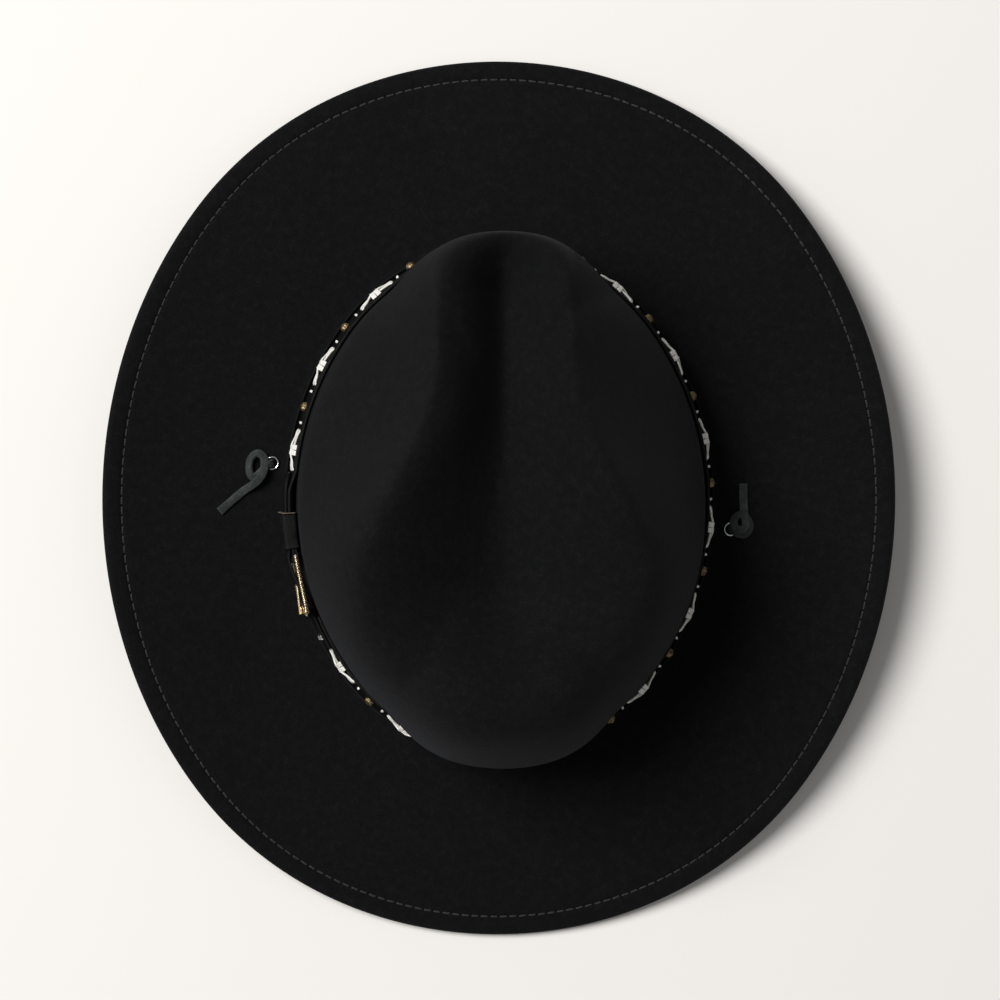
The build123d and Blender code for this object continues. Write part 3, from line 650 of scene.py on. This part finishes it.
def chin_cord():
    """A suede lace, nearly square, carried along its line."""
    points = cord_line()
    outline = suede_outline(3.4 * MM, 2.6 * MM, 5)
    half = len(points) // 2
    forward = tube(points[half:], outline, UP)
    backward = tube(points[half::-1], outline, UP)
    sections = [backward[0][i:i + len(outline)] for i in range(0, len(backward[0]), len(outline))]
    sections = [[section[k] for k in mirror_order(len(outline))] for section in reversed(sections)]
    sections += [forward[0][i:i + len(outline)] for i in range(len(outline), len(forward[0]), len(outline))]
    cord = add_piece("chin_cord_lace", skin(sections), CORD_LOOK, "chin_cord")
    return cord, points


def mirror_order(count):
    """Index order that maps an outline carried backwards onto the one carried forwards."""
    steps = count // 4
    order = []
    for index in range(count):
        corner, step = divmod(index, steps)
        order.append((1 - corner) % 4 * steps + (steps - 1 - step))
    return order


CORD, CORD_PATH = chin_cord()


# ---------------------------------------------------------------- felt
def felt_profile(nu):
    """Points of the felt's upper side at this direction, from the crown's top to the edge's stitches."""
    width = brim_width(nu)
    outer = [crown_point(nu, 2 - 1.965 * index / CROWN_ROWS) for index in range(1, CROWN_ROWS + 1)]
    for angle in range(0, 91, 15):
        c = BREAK_RADIUS * (1 - cos(radians(90 - angle)))
        s = BREAK_RADIUS * (1 - sin(radians(90 - angle)))
        outer.append(wall_point(nu, c, s))
    for index in range(1, BRIM_ROWS):
        offset = BREAK_RADIUS + (width - HEM_WIDTH - 1.0 * MM - BREAK_RADIUS) * index / BRIM_ROWS
        outer.append(brim_point(nu, offset))
    return outer


def surface_normals(columns):
    """Outward normals of a grid of columns, by differences."""
    count = len(columns)
    normals = []
    for i, column in enumerate(columns):
        left = columns[i - 1]
        right = columns[(i + 1) % count]
        row = []
        for j in range(len(column)):
            along = column[min(j + 1, len(column) - 1)] - column[max(j - 1, 0)]
            around = right[j] - left[j]
            row.append(along.cross(around).normalized())
        normals.append(row)
    return normals


def edge_profile(nu):
    """The turned-under edge: groove of the stitches, puffed rim, and the hem underneath."""
    width = brim_width(nu)
    groove = 0.45 * MM
    puff = 0.35 * MM
    top = [(9.6, 0.0), (9.0, -0.10), (8.5, -0.6), (8.2, -0.95), (8.0, -1.0), (7.8, -0.95), (7.5, -0.6),
           (7.0, 0.1), (6.2, 0.6), (5.0, 0.95), (3.8, 1.0), (2.8, 0.8), (2.0, 0.35)]
    points = []
    for inset, rise in top:
        lift = groove * rise if rise < 0 else puff * rise
        points.append(brim_point(nu, width - inset * MM) + UP * lift)
    centre = brim_point(nu, width - 2.1 * MM) - UP * (FELT + HEM) / 2
    half = (FELT + HEM) / 2
    side = outward(nu)
    for angle in range(75, -91, -11):
        points.append(centre + side * 2.1 * MM * cos(radians(angle)) + UP * half * sin(radians(angle)))
    for inset in (4.0, 6.0, 7.6, 8.0, 8.4, 9.0):
        dip = 0.25 * MM if inset == 8.0 else 0
        points.append(brim_point(nu, width - inset * MM) - UP * (FELT + HEM - dip))
    points.append(brim_point(nu, width - HEM_WIDTH + 0.2 * MM) - UP * (FELT + HEM * 0.75))
    points.append(brim_point(nu, width - HEM_WIDTH) - UP * (FELT + HEM * 0.3))
    points.append(brim_point(nu, width - HEM_WIDTH - 0.3 * MM) - UP * FELT)
    return points


def press_at_eyelets(point):
    """The felt is pressed in a little around each eyelet."""
    reach = 6 * MM
    for x, y in (EYELET_LEFT, EYELET_RIGHT):
        gap = hypot(point.x - x, point.y - y)
        if gap < reach and point.z < ROOT_Z + 3 * MM:
            point = point - UP * 0.35 * MM * (1 - gap / reach)
    return point


def ruffle(point):
    """The felt's slight unevenness, which fades out beside the band."""
    wave = noise.noise(point * 30) * 0.5 * MM + noise.noise(point * 90) * 0.12 * MM
    on_crown = point.z > ROOT_Z + BREAK_RADIUS
    return point + UP * wave * (ease(point.z, (ROOT_Z + 30 * MM, ROOT_Z + 50 * MM)) if on_crown else 1)


def felt_body():
    """Crown and brim: the upper side, the turned-under edge and the underside in one closed mesh."""
    nus = [360 * i / AROUND for i in range(AROUND)]
    tops = [felt_profile(nu) for nu in nus]
    rows = len(tops[0])
    normals = surface_normals(tops)
    columns = []
    for i, nu in enumerate(nus):
        column = [press_at_eyelets(ruffle(point)) for point in tops[i]] + edge_profile(nu)
        column += [tops[i][j] - normals[i][j] * FELT for j in range(rows - 1, -1, -2)]
        columns.append(column)
    count = len(columns[0])
    verts = [point for column in columns for point in column]
    faces = []
    for i in range(AROUND):
        after = (i + 1) % AROUND
        for j in range(count - 1):
            faces.append((i * count + j, i * count + j + 1, after * count + j + 1, after * count + j))
    apex = ruffle(crown_point(0, 2))
    verts.append(apex)
    verts.append(apex - UP * FELT)
    for i in range(AROUND):
        after = (i + 1) % AROUND
        faces.append((i * count, after * count, len(verts) - 2))
        faces.append((after * count + count - 1, i * count + count - 1, len(verts) - 1))
    return add_piece("felt_body_shaped", (verts, faces), FELT_LOOK, "felt_body")


felt_body()


def edge_stitches():
    """Separate stitches that dip into the groove at both ends."""
    line = [brim_point(nu / 4, brim_width(nu / 4) - STITCH_INSET) for nu in range(0, 1441)]
    lengths = [0.0]
    for a, b in zip(line, line[1:]):
        lengths.append(lengths[-1] + (b - a).length)
    count = round(lengths[-1] / STITCH_PITCH)
    outline = rounded_rect(THREAD * 1.3, THREAD * 1.1, THREAD * 0.5, 2)
    draw = random.Random(11)
    bow = [(-1, -0.45), (-0.82, -0.02), (-0.4, 0.12), (0.4, 0.12), (0.82, -0.02), (1, -0.45)]
    parts = []
    index = 0
    for number in range(count):
        distance = number * lengths[-1] / count
        while lengths[index + 1] < distance:
            index += 1
        share = (distance - lengths[index]) / (lengths[index + 1] - lengths[index])
        middle = line[index].lerp(line[index + 1], share)
        along = (line[index + 1] - line[index]).normalized()
        side = UP.cross(along).normalized()
        along = (along + side * draw.uniform(-0.05, 0.05)).normalized()
        half = STITCH_LENGTH / 2 * draw.uniform(0.92, 1.06)
        lift = -0.30 * MM
        points = [middle + along * half * share + UP * (lift + drop * MM) for share, drop in bow]
        parts.append(tube(points, outline, UP))
    return add_piece("edge_stitches", join(parts), EDGE_THREAD_LOOK, "brim_edge_stitching")


edge_stitches()


# ---------------------------------------------------------------- sweatband
def sweatband():
    """Leather with a rolled lower edge over the reed, a turned top edge and a rear seam."""
    outer = -FELT - SWEATBAND_GAP
    middle = outer - SWEATBAND / 2
    half = SWEATBAND * 0.45
    rim = 0.4 * MM
    low = SWEATBAND_BOTTOM + rim
    steps = 26
    heights = [low + (SWEATBAND_TOP - SWEATBAND_BOTTOM - 2 * rim) * step / steps for step in range(steps + 1)]
    rounds = [pi * step / 6 for step in range(1, 6)]
    profile = [(-half, height) for height in heights]
    profile += [(-half * cos(turn), SWEATBAND_TOP - rim + rim * sin(turn)) for turn in rounds]
    profile += [(half, height) for height in reversed(heights)]
    profile += [(half * cos(turn), low - rim * sin(turn)) for turn in rounds]
    around = 360
    sections = []
    for i in range(around):
        nu = 360 * i / around
        section = []
        for across, height in profile:
            place = wall_point(nu, middle + across, height)
            ripple = noise.noise(place * 60) * 0.25 * MM
            valley = 0.35 * MM * exp(-((height - 3.6 * MM) / (0.7 * MM)) ** 2) * (1 if across < 0 else 0)
            section.append(place + outward(nu) * (ripple + valley))
        sections.append(section)
    verts = [point for section in sections for point in section]
    faces = hoop_faces(around, len(profile))
    return add_piece("sweatband_leather_band", (verts, faces), SWEAT_LOOK, "sweatband")


def sweatband_reed():
    """The covered reed, with the cover's spiral seam."""
    middle = -FELT - SWEATBAND_GAP - SWEATBAND / 2
    height = SWEATBAND_BOTTOM - REED_RADIUS - 0.05 * MM
    around = 480
    sides = 12
    verts = []
    for i in range(around):
        nu = 360 * i / around
        centre = wall_point(nu, middle, height)
        for k in range(sides):
            angle = 2 * pi * k / sides
            radius = REED_RADIUS * (0.94 + 0.06 * cos(angle * 2 + i * 0.9))
            verts.append(centre + outward(nu) * radius * cos(angle) + UP * radius * sin(angle))
    faces = hoop_faces(around, sides)
    return add_piece("reed_covered", (verts, faces), REED_LOOK, "sweatband_reed")


def sweatband_stitches():
    """Slanted stitches in the valley over the reed, and a zigzag over the rear seam."""
    inner = -FELT - SWEATBAND_GAP - SWEATBAND
    outline = rounded_rect(THREAD, THREAD, THREAD * 0.45, 2)
    parts = []
    nu = 0.0
    while nu < 359.5:
        step = degrees(3.2 * MM / (oval_arc(nu)[2] + inner))
        a = wall_point(nu, inner - 0.15 * MM, 3.2 * MM)
        b = wall_point(nu + step * 0.72, inner - 0.15 * MM, 3.9 * MM)
        lift = -outward(nu) * 0.22 * MM
        ends = [a - lift * 1.6, a + lift * 0.2, (a + b) / 2 + lift, b + lift * 0.2, b - lift * 1.6]
        parts.append(tube(ends, outline, UP))
        nu += step
    rows = 13
    for index in range(rows):
        height = 5.5 * MM + index * 2.1 * MM
        side = 1 if index % 2 else -1
        reach = degrees(2.4 * MM / (END_RADIUS + inner))
        a = wall_point(90 - side * reach, inner - 0.3 * MM, height)
        b = wall_point(90 + side * reach, inner - 0.3 * MM, height + 2.1 * MM)
        parts.append(tube([a + outward(90) * 0.3 * MM, a, (a + b) / 2 - outward(90) * 0.1 * MM, b,
                           b + outward(90) * 0.3 * MM], outline, UP))
    return add_piece("sweatband_stitches", join(parts), SWEAT_THREAD_LOOK, "sweatband_stitching")


def sweatband_bow():
    """A small flat bow of narrow grosgrain over the rear seam."""
    inner = -FELT - SWEATBAND_GAP - SWEATBAND - 1.3 * MM
    place = wall_point(90, inner, 9 * MM)
    inside = -outward(90)
    across = Vector((1, 0, 0))
    up = wall_up(90)

    def ribbon(points, width, thick):
        controls = [place + across * x * MM + up * y * MM + inside * z * MM for x, y, z in points]
        outline = rounded_rect(thick * MM, width * MM, thick * 0.4 * MM, 2)
        return tube(spline_points(controls, 6), outline, up)

    parts = []
    for side in (-1, 1):
        loop = [(0, 0, 0.1), (side * 3, 1.2, 0.5), (side * 7, 2.0, 0.6), (side * 8.6, 1.3, 0.15),
                (side * 7, 1.0, -0.25), (side * 3, 0.2, -0.3), (0, -0.2, -0.3)]
        end = [(0, 0, -0.1), (side * 1.6, -2.2, 0.1), (side * 3.6, -4.6, 0.0), (side * 5.0, -6.6, 0.15)]
        parts += [ribbon(loop, 3.2, 0.35), ribbon(end, 2.6, 0.35)]
    parts.append(ribbon([(-0.3, -2.0, 0.0), (-0.1, -0.9, 0.85), (0, 0.5, 0.95), (0.2, 2.0, 0.0)], 2.6, 0.5))
    return add_piece("ribbon_bow", join(parts), RIBBON_LOOK, "sweatband_bow")


sweatband()
sweatband_reed()
sweatband_stitches()
sweatband_bow()


# ---------------------------------------------------------------- hat band
def leather_outline(thick, height):
    """A strap's section: rounded edges and a tooled line beside each edge."""
    grooves = [(TOOLED_INSET + 0.35 * MM, 0), (TOOLED_INSET, 0.16 * MM), (TOOLED_INSET - 0.35 * MM, 0)]
    high = [(thick / 2 - depth, height / 2 - inset) for inset, depth in grooves]
    low = [(a, -b) for a, b in reversed(high)]
    return rounded_rect(thick, height, thick * 0.42, 4) + low + high


def strap_solid(path, thick, heights):
    """Leather along a path of (nu, offset) at the band's middle height; heights are the strap's own."""
    centres = [wall_point(nu, offset, BAND_MIDDLE) for nu, offset in path]
    sections = []
    for index, (nu, _) in enumerate(path):
        before = centres[max(index - 1, 0)]
        after = centres[min(index + 1, len(centres) - 1)]
        tangent = (after - before).normalized()
        up = wall_up(nu)
        face = tangent.cross(up).normalized()
        outline = leather_outline(thick, heights[index])
        sections.append([centres[index] + face * a + up * b for a, b in outline])
    return skin(sections)


def side_path(controls, steps=6):
    """A smooth path of (nu, offset) through (distance along the side, offset) pairs in millimetres."""
    line = spline_points([(y * MM, offset * MM, 0) for y, offset in controls], steps)
    return [(side_nu(point.x), point.y) for point in line]


def hat_band():
    """Once round the crown, up over the keeper's inner leg, round the bar and back."""
    flat = BAND_GAP + LEATHER / 2
    start = side_nu(BAND_END_Y)
    end = 360 + side_nu(RAMP_Y[0]) - 1.0
    count = 300
    path = [(start + (end - start) * i / count, flat) for i in range(count)]
    rise = [(-14.5, 0.95), (-12.5, 0.98), (-8.5, 1.95), (-4.5, 2.95), (0, 3.0), (6, 3.0), (12, 3.0),
            (18, 3.0), (21.5, 3.1)]
    path += [(nu + 360, offset) for nu, offset in side_path(rise)]
    turn = []
    for angle in range(70, -111, -15):
        y = BAR_Y + FOLD_RADIUS * cos(radians(angle))
        offset = BAR_OFFSET + FOLD_RADIUS * sin(radians(angle))
        turn.append((360 + side_nu(y), offset))
    path += turn
    back = [(21.0, 2.0), (17, 1.97), (12, 1.97), (8.0, 1.97)]
    path += [(nu + 360, offset) for nu, offset in side_path(back)]
    strap = strap_solid(path, LEATHER * 0.92, [BAND_HEIGHT] * len(path))
    return add_piece("hat_band_leather", strap, BAND_LOOK, "hat_band_strap")


def punched(solids):
    """The first of these (verts, faces) with the others cut out of it."""
    objects = [new_object("punch", new_mesh("punch", *solid)) for solid in solids]
    for cutter in objects[1:]:
        cut = objects[0].modifiers.new("cut", "BOOLEAN")
        cut.operation = "DIFFERENCE"
        cut.solver = "EXACT"
        cut.object = cutter
    evaluated = objects[0].evaluated_get(bpy.context.evaluated_depsgraph_get())
    result = bpy.data.meshes.new_from_object(evaluated)
    points = [vertex.co.copy() for vertex in result.vertices]
    polygons = [tuple(polygon.vertices) for polygon in result.polygons]
    for holder in objects:
        mesh = holder.data
        bpy.data.objects.remove(holder)
        bpy.data.meshes.remove(mesh)
    bpy.data.meshes.remove(result)
    return points, polygons


def wall_cutter(y, offset, outline):
    """A punch square to the wall, whose outline's pairs are along the band and up the wall."""
    nu = side_nu(y * MM)
    place, along, up, out = wall_frame(nu, offset * MM, BAND_MIDDLE)
    return skin([[place + along * a + up * b + out * depth * MM for a, b in outline] for depth in (-3, 3)])


def billet():
    """The billet, with its rounded tip, its prong slot and its spare holes."""
    low = 2.3
    controls = [(-11.8, 3.2), (-10, 3.6), (-7, 4.1), (-4, 4.3), (4, 4.3), (12, 4.3), (19.2, 4.35),
                (22.4, 5.2), (25.8, 5.2), (31, 4.5), (37, 3.3), (42, low), (49, low), (56, low), (63, low)]
    path = side_path(controls, 8)
    heights = []
    for nu, _ in path:
        from_tip = (radians(nu) * SIDE_RADIUS + 11.8 * MM) / (6.5 * MM)
        share = min(max(from_tip, 0.0), 1.0)
        heights.append(BILLET_HEIGHT * (0.30 + 0.70 * sqrt(1 - (1 - share) ** 2)))
    strap = strap_solid(path, LEATHER * 0.88, heights)
    slot = wall_cutter(31.4, 4.5, rounded_rect(15.5 * MM, 3.2 * MM, 1.55 * MM, 4))
    holes = [wall_cutter(y, 4.3, rounded_rect(2 * MM, 2 * MM, 0.95 * MM, 4)) for y in (-3.5, 3.0)]
    return add_piece("billet_leather", punched([strap, slot] + holes), BAND_LOOK, "buckle_billet",
                     smooth_shade=False)


def wall_frame(nu, offset, height):
    """Place, along, up and outward directions on the band."""
    up = wall_up(nu)
    along = Vector((-sin(radians(nu)), cos(radians(nu)), 0))
    return wall_point(nu, offset, height), along, up, along.cross(up).normalized()


hat_band()
billet()


def band_radius(nu):
    """Of the band's outer face at its middle height."""
    return oval_arc(nu)[2] + BAND_GAP + LEATHER - BAND_MIDDLE * slope(nu)


def decoration_nu(distance):
    """Direction at this distance along the decorated band, from its rear left end."""
    nu = side_nu(DECORATED_START_Y)
    while distance > 0:
        distance -= band_radius(nu) * radians(ANGLE_STEP)
        nu += ANGLE_STEP
    return nu


def decorated_length():
    nu = side_nu(DECORATED_START_Y)
    end = 360 + side_nu(RAMP_Y[0])
    total = 0.0
    while nu < end:
        total += band_radius(nu) * radians(ANGLE_STEP)
        nu += ANGLE_STEP
    return total


LACE_PITCH = (decorated_length() - LACE_LENGTH) / STUD_COUNT


def studs():
    """Ribbed conical studs: a beaded rim, a fluted body and a small flat cap."""
    profile = [(0.0001, 0.05, 0), (0.98, 0.05, 0), (1.0, 0.28, 0.0), (0.97, 0.5, 0.0), (0.86, 0.58, 0.02),
               (0.84, 0.75, 0.07), (0.78, 1.25, 0.09), (0.66, 1.7, 0.08), (0.50, 2.0, 0.05),
               (0.34, 2.12, 0.0), (0.30, 2.28, 0.0), (0.12, 2.32, 0.0), (0.0001, 2.33, 0)]
    flutes = 12
    turns = [2 * pi * k / (flutes * 4) for k in range(flutes * 4)]
    parts = []
    for number in range(STUD_COUNT):
        nu = decoration_nu(LACE_LENGTH / 2 + LACE_PITCH * (number + 0.5))
        place, along, up, out = wall_frame(nu, BAND_GAP + LEATHER, BAND_MIDDLE)
        rings = []
        for radius, height, flute in profile:
            reaches = [STUD_RADIUS * (radius + flute * cos(flutes * turn)) for turn in turns]
            rings.append([place + along * reach * cos(turn) + up * reach * sin(turn) + out * height * MM
                          for reach, turn in zip(reaches, turns)])
        parts.append(skin(rings))
    return add_piece("brass_studs", join(parts), STUD_LOOK, "band_studs")


def lacing():
    """Crossed rawhide lace between the studs: two crossing strands, two wraps and small end stitches."""
    base = BAND_GAP + LEATHER
    draw = random.Random(3)
    lace = rounded_rect(2.1 * MM, 0.8 * MM, 0.34 * MM, 3)
    thin_lace = rounded_rect(1.1 * MM, 0.6 * MM, 0.25 * MM, 2)
    parts = []
    for number in range(STUD_COUNT + 1):
        centre = LACE_LENGTH / 2 + number * LACE_PITCH
        wobble = draw.uniform(-0.25, 0.25)

        def run(places, outline, steps):
            """A length of lace through places along the band, up it and out from it, in millimetres."""
            spots = [wall_point(decoration_nu(centre + along * MM), base + out * MM, BAND_MIDDLE + rise * MM)
                     for along, rise, out in places]
            parts.append(tube(spline_points(spots, steps), outline, outward(decoration_nu(centre))))

        for side, over in ((1, 0.0), (-1, 0.75)):
            run([(-8.3, side * 3.7, -0.5), (-7.6, side * 3.4, 0.25), (-5.0, side * 2.3, 0.62),
                 (-2.2, side * 1.0, 0.75 + over), (0, wobble, 0.85 + over), (2.2, -side * 1.0, 0.75 + over),
                 (5.0, -side * 2.3, 0.62), (7.6, -side * 3.4, 0.25), (8.3, -side * 3.7, -0.5)], lace, 4)
        for shift in (-1.15, 1.15):
            run([(shift, -3.6, -0.4), (shift, -3.0, 0.5), (shift * 0.9, -1.2, 1.55), (shift * 0.8, 0, 1.75),
                 (shift * 0.9, 1.2, 1.55), (shift, 3.0, 0.5), (shift, 3.6, -0.4)], lace, 4)
        for end in (-1, 1):
            if 0 <= number + (end - 1) // 2 < STUD_COUNT:
                run([(end * 11.4, rise, out) for rise, out in
                     ((-1.1, -0.3), (-0.8, 0.3), (0, 0.5), (0.8, 0.3), (1.1, -0.3))], thin_lace, 3)
    return add_piece("crossed_lacing", join(parts), LACE_LOOK, "band_lacing")


studs()
lacing()


# ---------------------------------------------------------------- buckle, keeper, eyelets, knots and slider
def buckle_axes():
    """Place and directions of the buckle's own plane: along to the toe, up the wall and outwards."""
    nu = side_nu(BUCKLE_START_Y + BUCKLE_LENGTH / 2)
    place, along, up, out = wall_frame(nu, BUCKLE_OFFSET, BAND_MIDDLE)
    tilt = radians(BUCKLE_TILT)
    return place, along * cos(tilt) + out * sin(tilt), up, out * cos(tilt) - along * sin(tilt)


def buckle_line(inset, lift):
    """A line round the frame from one rail's end to the other's, this far in from its outer edge."""
    place, along, up, out = buckle_axes()
    half = BUCKLE_HEIGHT / 2 - inset
    toe = BUCKLE_LENGTH / 2 - inset
    start = -BUCKLE_LENGTH / 2
    corner = max(3 * MM - inset, 0.8 * MM)
    flat = [(start, -half)]
    for centre_b, first in ((-half + corner, -90), (half - corner, 0)):
        for step in range(7):
            angle = radians(first + 15 * step)
            flat.append((toe - corner + corner * cos(angle), centre_b + corner * sin(angle)))
    flat.append((start, half))
    dense = []
    for (a0, b0), (a1, b1) in zip(flat, flat[1:]):
        pieces = max(1, round(hypot(a1 - a0, b1 - b0) / (0.45 * MM)))
        dense += [(a0 + (a1 - a0) * k / pieces, b0 + (b1 - b0) * k / pieces) for k in range(pieces)]
    dense.append(flat[-1])
    return [place + along * a + up * b + out * lift for a, b in dense], out


def buckle():
    """The frame's flat, softly rounded rail with two raised lines, and a rope along its outer edge."""
    line, out = buckle_line(BUCKLE_RAIL / 2, 0)
    half = BUCKLE_THICKNESS / 2
    rail = rounded_rect(BUCKLE_RAIL - 0.5 * MM, BUCKLE_THICKNESS * 0.9, 0.45 * MM, 3)
    frame_parts = [tube(line, rail, out)]
    for inset in (1.15 * MM, 2.45 * MM):
        ridge, _ = buckle_line(inset, half * 0.86)
        frame_parts.append(tube(ridge, rounded_rect(0.42 * MM, 0.36 * MM, 0.16 * MM, 2), out))
    rope_line, _ = buckle_line(0.25 * MM, half * 0.35)
    turns = [2 * pi * k / 24 for k in range(24)]
    reaches = [0.62 * MM * (1 + 0.32 * cos(3 * turn)) for turn in turns]
    strands = [(reach * cos(turn), reach * sin(turn)) for reach, turn in zip(reaches, turns)]
    frame_parts.append(tube(rope_line, strands, out, twist=2 * pi * 17))
    return add_piece("engraved_buckle", join(frame_parts), BUCKLE_LOOK, "buckle_frame")


def sleeve(outer, inner):
    """A closed loop of material between outer and inner rings with the same number of points."""
    count = len(outer[0])
    rows = len(outer)
    verts = [point for ring in outer for point in ring] + [point for ring in inner for point in ring]
    shift = rows * count
    faces = grid_faces(rows, count)
    faces += [tuple(reversed(face)) for face in grid_faces(rows, count, shift)]
    for row, flip in ((0, True), (rows - 1, False)):
        base = row * count
        for k in range(count):
            after = (k + 1) % count
            face = (base + k, base + after, shift + base + after, shift + base + k)
            faces.append(face if flip else tuple(reversed(face)))
    return verts, faces


def keeper_rings(y_values, swells):
    """Outer and inner rings of the keeper across the band at these distances along it."""
    low, leg, room, high = KEEPER_OFFSETS
    inside = BAND_HEIGHT + 2 * KEEPER_EDGE
    outer = []
    inner = []
    for y, swell in zip(y_values, swells):
        place, _, up, out = wall_frame(side_nu(y), (low + high) / 2, BAND_MIDDLE)
        middle = (leg + room) / 2 - (low + high) / 2
        outer_section = rounded_rect(high - low + swell, inside + 2 * KEEPER_LEATHER + swell, 1.3 * MM, 5)
        inner_section = rounded_rect(room - leg - swell, inside - swell, 0.6 * MM, 5)
        outer.append([place + out * a + up * b for a, b in outer_section])
        inner.append([place + out * (a + middle) + up * b for a, b in inner_section])
    return outer, inner


def keeper():
    """The leather loop, its edges slightly rounded, and the paler cut edge at its front end."""
    start, end = KEEPER_Y
    steps = 12
    cut = start + 0.3 * MM
    y_values = [cut + (end - cut) * k / steps for k in range(steps + 1)]
    swells = [-0.12 * MM if k in (0, steps) else 0.0 for k in range(steps + 1)]
    outer, inner = keeper_rings(y_values, swells)
    add_piece("keeper_leather", sleeve(outer, inner), KEEPER_LOOK, "keeper_loop", "keeper")
    outer, inner = keeper_rings([start, cut], [-0.35 * MM, -0.15 * MM])
    add_piece("keeper_cut_edge", sleeve(outer, inner), CUT_LOOK, body="keeper")


def circle(centre, radius, count):
    """Points round a level circle."""
    turns = [2 * pi * k / count for k in range(count)]
    return [centre + Vector((radius * cos(turn), radius * sin(turn), 0)) for turn in turns]


def eyelets():
    """Rolled nickel eyelets through the felt."""
    for node, (x, y) in (("eyelet_left", EYELET_LEFT), ("eyelet_right", EYELET_RIGHT)):
        place = Vector((x, y, brim_height(x, y)))
        profile = [(0, -3.4), (0, 0.1), (0.12, 0.45), (0.4, 0.68), (0.75, 0.6), (1.0, 0.3), (0.95, 0.12),
                   (0.3, 0.05), (0.3, -3.1), (0.7, -3.2), (0.65, -3.5), (0.2, -3.6), (0, -3.4)]
        rings = [circle(place + UP * height * MM, EYELET_HOLE + flare * MM, 40) for flare, height in profile]
        rolled = node.replace("eyelet", "rolled_eyelet")
        add_piece(rolled, skin(rings, closed_ends=False), NICKEL_LOOK, node)


def knot_lace(name, node, places, seed):
    """A flat suede lace tied in an overhand knot, and its tail; places are (x, y, height over the brim)."""
    spots = [(x * MM, y * MM, brim_height(x * MM, y * MM) + height * MM) for x, y, height in places]
    line = spline_points(spots, 7)
    draw = random.Random(seed)
    scales = [1 + draw.uniform(-0.035, 0.035) for _ in line]
    lace = tube(line, suede_outline(3.4 * MM, 1.5 * MM, seed), Vector((0.6, 0.1, 0.8)), scales)
    return add_piece(name, lace, CORD_LOOK, node)


def slider():
    """The leather slide: a rounded block with a slot for both strands and a pressed groove at each end."""
    wide = 2 * (STRAND_X + SLIDER_ROOM) + CORD_DIAMETER + 0.6 * MM
    high = CORD_DIAMETER + 2 * SLIDER_ROOM
    half_profile = [(0.3, 0), (0.6, 0), (0.66, 0.35), (0.72, 0), (0.88, 0), (0.96, 0.35), (1, 0.9)]
    profile = [(-share, shrink) for share, shrink in reversed(half_profile)] + [(0, 0)] + half_profile
    outer = []
    inner = []
    for share, shrink in profile:
        y = share * SLIDER_LENGTH / 2
        outline = rounded_rect(SLIDER_WIDTH - shrink * MM, SLIDER_HEIGHT - shrink * MM, 2.4 * MM, 6)
        slot = rounded_rect(wide, high, high * 0.48, 6)
        outer.append([Vector((-a, y, SLIDER_Z + b)) for a, b in outline])
        inner.append([Vector((-a, y, SLIDER_Z + b)) for a, b in slot])
    return add_piece("slider_leather", sleeve(outer, inner), SLIDER_LOOK, "cord_slider",
                     "slider")


buckle()
keeper()
eyelets()
SLIDER = slider()
KNOT_LEFT = knot_lace("left_knot_lace", "knot_left", [
    (94.3, -15.2, -0.6), (94.6, -15.0, 1.6), (97.0, -13.4, 2.6), (100.2, -10.2, 2.2), (102.6, -9.8, 1.6),
    (103.6, -13.0, 1.2), (103.0, -17.0, 1.2), (100.4, -19.4, 1.3), (97.6, -17.8, 1.9), (97.2, -13.8, 3.4),
    (98.8, -9.6, 3.9), (101.8, -6.6, 2.9), (106.1, -3.7, 1.1), (111.0, 0.5, 1.0), (115.8, 4.7, 1.0)], 8)
KNOT_RIGHT = knot_lace("right_knot_lace", "knot_right", [
    (-96.1, 12.2, -0.6), (-96.4, 12.4, 1.6), (-98.8, 14.0, 2.6), (-102.2, 14.4, 1.9), (-104.2, 11.6, 1.3),
    (-103.0, 7.8, 1.4), (-99.8, 6.2, 1.7), (-97.2, 8.4, 2.4), (-97.9, 11.8, 3.6), (-100.8, 12.4, 3.9),
    (-102.2, 9.6, 3.1), (-101.6, 5.0, 1.4), (-101.4, 0.0, 1.0), (-101.3, -6.7, 1.0)], 9)

NODE_LOOKS = {"eyelet_washers": NICKEL_LOOK, "fold_rivet": NICKEL_LOOK, "billet_rivets": NICKEL_LOOK,
              "buckle_bar": BUCKLE_LOOK, "buckle_prong": BUCKLE_LOOK}
for node, look in NODE_LOOKS.items():
    for material_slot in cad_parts[node].material_slots:
        material_slot.material = look


# ---------------------------------------------------------------- floor and light
def floor():
    size = 3.0
    corners = [(-size, -size, 0), (size, -size, 0), (size, size, 0), (-size, size, 0)]
    mesh = new_mesh("floor", corners, [(0, 1, 2, 3)])
    plane = new_object("floor", mesh)
    look = Look("floor", Roughness=0.95, Specular_IOR_Level=0.0, Base_Color=FLOOR_COLOUR)
    mesh.materials.append(look.material)


def area_light(name, place, target, size, power):
    data = bpy.data.lights.new(name, "AREA")
    data.shape = "DISK"
    data.size = size
    data.energy = power
    light = new_object(name, data)
    light.location = place
    light.rotation_euler = (Vector(target) - Vector(place)).to_track_quat("-Z", "Y").to_euler()


def world_light(strength):
    world = bpy.data.worlds.new("studio")
    bpy.context.scene.world = world
    world.use_nodes = True
    background = world.node_tree.nodes["Background"]
    background.inputs["Color"].default_value = (1, 1, 1, 1)
    background.inputs["Strength"].default_value = strength


floor()
world_light(0.22)
area_light("key", (1.9, -1.0, 2.9), (0, 0, 0.03), 2.0, 140)
bpy.context.scene.view_settings.view_transform = "Standard"
